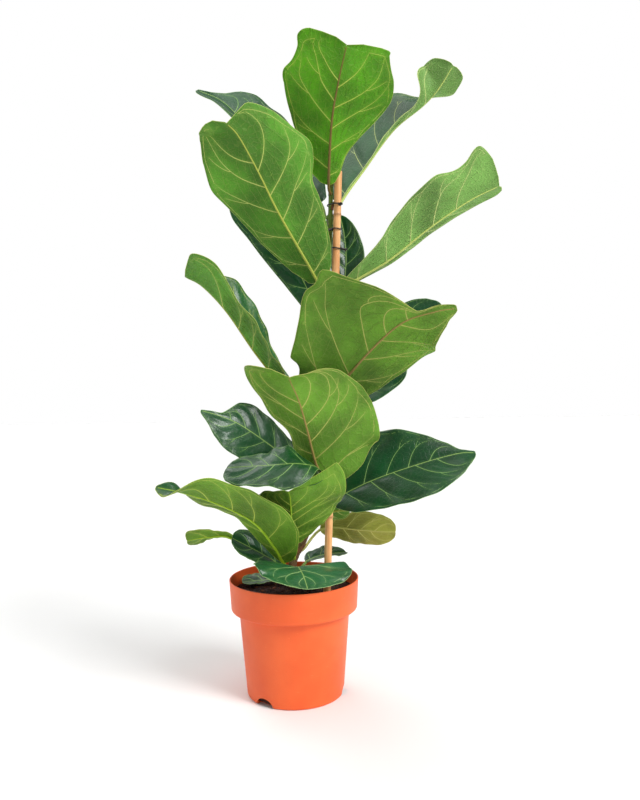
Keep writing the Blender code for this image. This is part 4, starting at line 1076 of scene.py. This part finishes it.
class Blade:
    """A leaf blade as a bent sheet: points on it are found from side (-1 to 1) and share (0 to 1)."""

    def __init__(self, row):
        self.row = row
        ticks = np.linspace(0.0, 1.0, ROWS_ALONG)
        self.shares = 0.5 * ticks + 0.25 * (1.0 - np.cos(math.pi * ticks))
        self.reaches = np.linspace(0.0, 1.0, HALF_COLUMNS + 1)
        spine = leaf_spines(row)[1]
        self.length = np.linalg.norm(np.diff(spine, axis=0), axis=1).sum()
        centre = evenly(spine, self.shares)
        self.along = unit(np.gradient(centre, self.shares, axis=0))
        base, tip = unit(np.array(row.upper)), unit(np.array(row.upper_tip))
        start, end = row.twist
        turn = (np.clip((self.shares - start) / (end - start), 0.0, 1.0) ** 2)[:, None]
        up = base * (1.0 - turn) + tip * turn
        up = unit(up - self.along * (up * self.along).sum(axis=1)[:, None])
        across = np.cross(self.along, up)
        halves = [self.half(side, centre, across, up) for side in (0, 1)]
        self.sheet = np.concatenate((halves[0][:, :0:-1], halves[1]), axis=1)
        self.sides = np.concatenate((-self.reaches[:0:-1], self.reaches))
        rows_way = np.gradient(self.sheet, axis=0)
        columns_way = np.gradient(self.sheet, axis=1)
        self.normals = unit(np.cross(columns_way, rows_way))
        flip = np.sign((self.normals * up[:, None, :]).sum(axis=2).mean())
        self.normals = self.normals * flip

    def half(self, side, centre, across, up):
        row = self.row
        width = (row.left, row.right)[side] * outline_at(OUTLINES[row.outline[side]], self.shares)
        middles = (self.reaches[1:] + self.reaches[:-1]) / 2
        bend = np.clip(middles / CREASE_SHARE, 0.0, 1.0)
        angles = np.radians(row.fold[side] * bend + row.curl[side] * middles)[None, :]
        step = width[:, None] / HALF_COLUMNS
        nought = np.zeros((ROWS_ALONG, 1))
        out = np.concatenate((nought, np.cumsum(np.cos(angles) * step, axis=1)), axis=1)
        rise = np.concatenate((nought, np.cumsum(np.sin(angles) * step, axis=1)), axis=1)
        shares = self.shares[:, None]
        square = (self.reaches ** 2)[None, :]
        fullness = (width / (row.left, row.right)[side])[:, None]
        forward = row.shoulder[side] * self.length * shares ** 3 * square * np.sqrt(fullness)
        if side == 0:
            forward = forward + row.ear * shares ** 12 * square ** 5 * fullness
        forward = forward - BASE_LOBE * square * np.exp(-shares / BASE_LOBE_REACH)
        phase = WAVE_PHASE * side
        wave = row.wave * min(1.0, (row.left, row.right)[side] / FULL_WAVE_WIDTH)
        ripple = wave * square * np.sin(shares * WAVE_PITCH + phase)
        ripple = ripple + FINE_WAVE * wave * square ** 2 * np.sin(shares * FINE_WAVE_PITCH + phase * 3)
        rise = rise + ripple * np.sin(math.pi * shares)
        out = out * (1.0 if side else -1.0)
        return (centre[:, None, :] + across[:, None, :] * out[..., None] + up[:, None, :] * rise[..., None]
                + self.along[:, None, :] * forward[..., None])

    def pick(self, grid, sides, shares):
        """Values of a grid at places between its points."""
        column = np.interp(sides, self.sides, np.arange(len(self.sides)))
        line = np.interp(shares, self.shares, np.arange(len(self.shares)))
        left = np.minimum(column.astype(int), len(self.sides) - 2)
        low = np.minimum(line.astype(int), len(self.shares) - 2)
        right_part = (column - left)[:, None]
        high_part = (line - low)[:, None]
        lower = grid[low, left] * (1 - right_part) + grid[low, left + 1] * right_part
        upper = grid[low + 1, left] * (1 - right_part) + grid[low + 1, left + 1] * right_part
        return lower * (1 - high_part) + upper * high_part

    def flat(self, sides, shares):
        """Places on the leaf pressed flat, in metres."""
        row = self.row
        left = row.left * outline_at(OUTLINES[row.outline[0]], shares)
        right = row.right * outline_at(OUTLINES[row.outline[1]], shares)
        return np.stack((sides * np.where(sides < 0, left, right), shares * self.length), axis=-1)


def vein_lines(blade):
    """The veins as (sides, shares, start radius, end radius, order) lines on the blade."""
    row = blade.row
    lines = [(np.zeros(SPINE_POINTS), np.linspace(0.0, 0.99, SPINE_POINTS), *MIDRIB)]
    for side, half in ((-1, row.left), (1, row.right)):
        laterals = []
        for number in range(row.veins):
            start = 0.04 + 0.80 * (number / row.veins) ** 0.9 + (0.05 if side > 0 else 0.0)
            lean = 22.0 + 26.0 * start + 5.0 * math.sin(4.0 * number + side)
            reach = np.linspace(0.0, 0.90, SIDE_VEIN_POINTS)
            slope = np.tan(np.radians(lean + 38.0 * reach ** 1.6))
            full = half * outline_at(OUTLINES[row.outline[side > 0]], np.array([min(start + 0.08, 0.95)]))[0]
            climb = np.concatenate(([0.0], np.cumsum((slope[1:] + slope[:-1]) / 2 * np.diff(reach)))) * full
            shares = start + climb / blade.length
            keep = shares < 0.985
            laterals.append((side * reach[keep], shares[keep]))
        for number, (sides, shares) in enumerate(laterals):
            lines.append((sides, shares, *SIDE_VEIN))
            ahead = laterals[number + 1] if number + 1 < len(laterals) else None
            if ahead is None:
                continue
            # The end bends along the margin until it meets the next side vein.
            if abs(sides[-1]) > 0.8 and ahead[1][-1] > shares[-1]:
                loop_shares = np.linspace(shares[-1], ahead[1][-1], 10)
                bow = np.sin(np.linspace(0.0, math.pi, 10)) * 0.05
                lines.append((side * (np.linspace(abs(sides[-1]), abs(ahead[0][-1]), 10) + bow),
                              loop_shares, *LOOP_VEIN))
            # A fork leaves the outer half of the vein on its lower side.
            fork = int(len(sides) * 0.55)
            run = np.linspace(0.0, 1.0, 10)
            fork_sides = sides[fork] + side * 0.36 * run
            fork_shares = shares[fork] + (shares[-1] - shares[fork]) * 0.35 * run ** 1.4
            lines.append((fork_sides, fork_shares, *FORK_VEIN))
            # Ladder veins join it to the next one.
            for rung in range(LADDER_RUNGS):
                place = 0.16 + 0.19 * rung + 0.04 * math.sin(5.0 * rung + 3.0 * number + side)
                other = max(place - 0.05 + 0.03 * math.sin(7.0 * rung + number), 0.02)
                if place > abs(sides[-1]) or other > abs(ahead[0][-1]):
                    continue
                low = np.interp(place, abs(sides), shares)
                high = np.interp(other, abs(ahead[0]), ahead[1])
                run = np.linspace(0.0, 1.0, 8)
                wobble = 0.012 * np.sin(run * math.pi * 2 + rung + number)
                lines.append((side * (place + (other - place) * run + wobble * np.sin(math.pi * run)),
                              low + (high - low) * run, *LADDER_VEIN))
    return lines


def leaf_side(name, colour, pale, upper):
    """Leaf skin: waxy and dark on the upper side, matt with a raised net of small veins below."""
    finish = Finish(name, Specular_IOR_Level=0.36 if upper else 0.25, Coat_Roughness=0.16)
    where = finish.place()
    skin = finish.node("UVMap", {"uv_map": "blade"})
    wander = finish.node("VectorMath", {"operation": "SCALE"},
                         {"Vector": finish.node("TexNoise", {}, {"Vector": skin, "Scale": 55.0}, "Color"),
                          "Scale": 0.012})
    skin = finish.node("VectorMath", {"operation": "ADD"}, {"Vector": skin, "Vector_001": wander})
    clouds = finish.mottle(where, 16.0, 3.0)
    freckles = finish.mottle(where, 240.0, 2.0)
    near = finish.node("Attribute", {"attribute_name": "near_vein"}, {}, "Fac")
    net = finish.node("TexVoronoi", {"feature": "DISTANCE_TO_EDGE"}, {"Vector": skin, "Scale": 150.0})
    fine = finish.node("TexVoronoi", {"feature": "DISTANCE_TO_EDGE"}, {"Vector": skin, "Scale": 520.0})
    lines = 1 - net.between(0.01, 0.09)
    threads = 1 - fine.between(0.0, 0.12)
    darker = tuple(part * 0.62 for part in colour)
    lighter = tuple(part * 1.25 for part in colour)
    tint = finish.mix(clouds.between(0.3, 0.72), darker, lighter)
    tint = finish.mix(freckles.between(0.4, 0.7) * 0.12, tint, darker)
    tint = finish.mix(lines * (0.02 if upper else 0.09), tint, pale)
    tint = finish.mix(threads * (0.01 if upper else 0.04), tint, pale)
    tint = finish.mix(near ** 2.0 * (0.10 if upper else 0.14), tint, pale)
    if upper:
        relief = finish.bump(1 - lines, 0.00014)
        relief = finish.bump(1 - threads, 0.00003, relief)
        finish.give(Roughness=0.26 + clouds * 0.14, Coat_Weight=0.12 + clouds * 0.16)
    else:
        relief = finish.bump(lines, 0.0004)
        relief = finish.bump(threads, 0.0001, relief)
        finish.give(Roughness=0.48 + clouds * 0.12)
    finish.give(Base_Color=tint, Normal=finish.bump(clouds, 0.0007, relief))
    return finish.material


def leaf_veins(name, pale, rib, fine):
    """Veins and petiole: the midrib has its own colour, and the finer a vein, the greener it is."""
    finish = Finish(name, Specular_IOR_Level=0.4)
    order = finish.node("Attribute", {"attribute_name": "order"}, {}, "Fac")
    streaks = finish.mottle(finish.place(), 130.0, 3.0)
    colour = finish.mix(order.between(0.05, 0.35), rib, pale)
    colour = finish.mix(order.between(0.75, 1.0) * 0.85, colour, fine)
    colour = finish.mix(streaks * 0.35, colour, tuple(part * 0.7 for part in rib))
    finish.give(Base_Color=colour, Roughness=0.45 + streaks * 0.15, Normal=finish.bump(streaks, 0.0002))
    return finish.material


leaf_finishes = {}
for tone, (upper_colour, under_colour, vein_colour, rib_colour) in TONES.items():
    leaf_finishes[tone] = (leaf_side("leaf_upper_" + tone, upper_colour, vein_colour, True),
                           leaf_side("leaf_under_" + tone, under_colour, vein_colour, False),
                           leaf_veins("leaf_veins_" + tone, vein_colour, rib_colour, under_colour))


def blade_mesh(blade, lines, name, materials):
    """The blade's two skins and its margin, puffed up between the veins."""
    columns = len(blade.sides)
    side_grid, share_grid = np.meshgrid(blade.sides, blade.shares)
    flat = blade.flat(side_grid, share_grid)
    marks = np.concatenate([blade.flat(np.asarray(sides), np.asarray(shares))
                            for sides, shares, _, _, order in lines if order < 0.9])
    gaps = np.full(side_grid.shape, 1.0)
    for start in range(0, len(marks), 64):
        away = flat[:, :, None, :] - marks[None, None, start:start + 64, :]
        gaps = np.minimum(gaps, np.sqrt((away ** 2).sum(axis=3)).min(axis=2))
    edge = 1.0 - np.abs(side_grid) ** 6
    puff = PILLOW * (1.0 - np.exp(-(gaps / PILLOW_REACH) ** 2)) * edge
    near = np.exp(-(gaps / NEAR_VEIN_REACH) ** 2)
    middle = blade.sheet + blade.normals * puff[..., None]
    half = BLADE_THICKNESS / 2
    verts = np.concatenate(((middle + blade.normals * half).reshape(-1, 3),
                            (middle - blade.normals * half).reshape(-1, 3)))
    count = ROWS_ALONG * columns
    grid = np.arange(count).reshape(ROWS_ALONG, columns)
    quads = np.stack((grid[:-1, :-1], grid[:-1, 1:], grid[1:, 1:], grid[1:, :-1]), axis=2).reshape(-1, 4)
    rim = np.concatenate((grid[0, :], grid[1:, -1], grid[-1, -2::-1], grid[-2:0:-1, 0]))
    follow = np.roll(rim, -1)
    seam = np.stack((rim, rim + count, follow + count, follow), axis=1)
    faces = np.concatenate((quads, quads[:, ::-1] + count, seam))
    item = mesh_object(name, verts, faces, materials)
    picks = [0] * len(quads) + [1] * len(quads) + [2] * len(seam)
    item.data.polygons.foreach_set("material_index", picks)
    give_points(item.data, "near_vein", np.tile(near.reshape(-1), 2))
    places = np.tile(flat.reshape(-1, 2), (2, 1))
    uv = item.data.uv_layers.new(name="blade")
    uv.data.foreach_set("uv", places[faces.reshape(-1)].reshape(-1))
    give_points(item.data, "order", [MARGIN_ORDER] * len(verts))
    return item


def vein_strands(row, blade, lines):
    """The vein lines laid on the blade, the midrib drawn back along the petiole to the stem."""
    strands = []
    for sides, shares, thick, thin, order in lines:
        sides, shares = np.asarray(sides), np.asarray(shares)
        points = blade.pick(blade.sheet, sides, shares)
        normals = unit(blade.pick(blade.normals, sides, shares))
        radii = np.linspace(thick, thin, len(points))
        sunk = np.maximum(radii - BLADE_THICKNESS / 2 - VEIN_SINK, 0.0)
        points = points - normals * sunk[:, None]
        if order == 0.0:
            stalk = leaf_spines(row)[0][:-2:2]
            points = np.concatenate((stalk, points[1:]))
            radii = np.concatenate((np.linspace(PETIOLE_RADIUS, thick, len(stalk)), radii[1:]))
        strands.append((points, radii, order))
    rim_shares = np.concatenate((blade.shares, blade.shares[-2::-1]))
    rim_sides = np.concatenate((-np.ones(ROWS_ALONG), np.ones(ROWS_ALONG - 1)))
    margin = blade.pick(blade.sheet, rim_sides, rim_shares)
    strands.append((margin, np.full(len(margin), MARGIN_RADIUS), MARGIN_ORDER))
    return strands


for row in LEAVES:
    blade = Blade(row)
    lines = vein_lines(blade)
    finishes = leaf_finishes[row.tone]
    skins = blade_mesh(blade, lines, row.name + "_blade", finishes)
    veins = rods_piece(row.name + "_veins", vein_strands(row, blade, lines), 7, finishes[2], ("order",))
    grown_leaf = joined("fig_" + row.name, [skins, veins])
    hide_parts(row.name)
    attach(grown_leaf, "root")
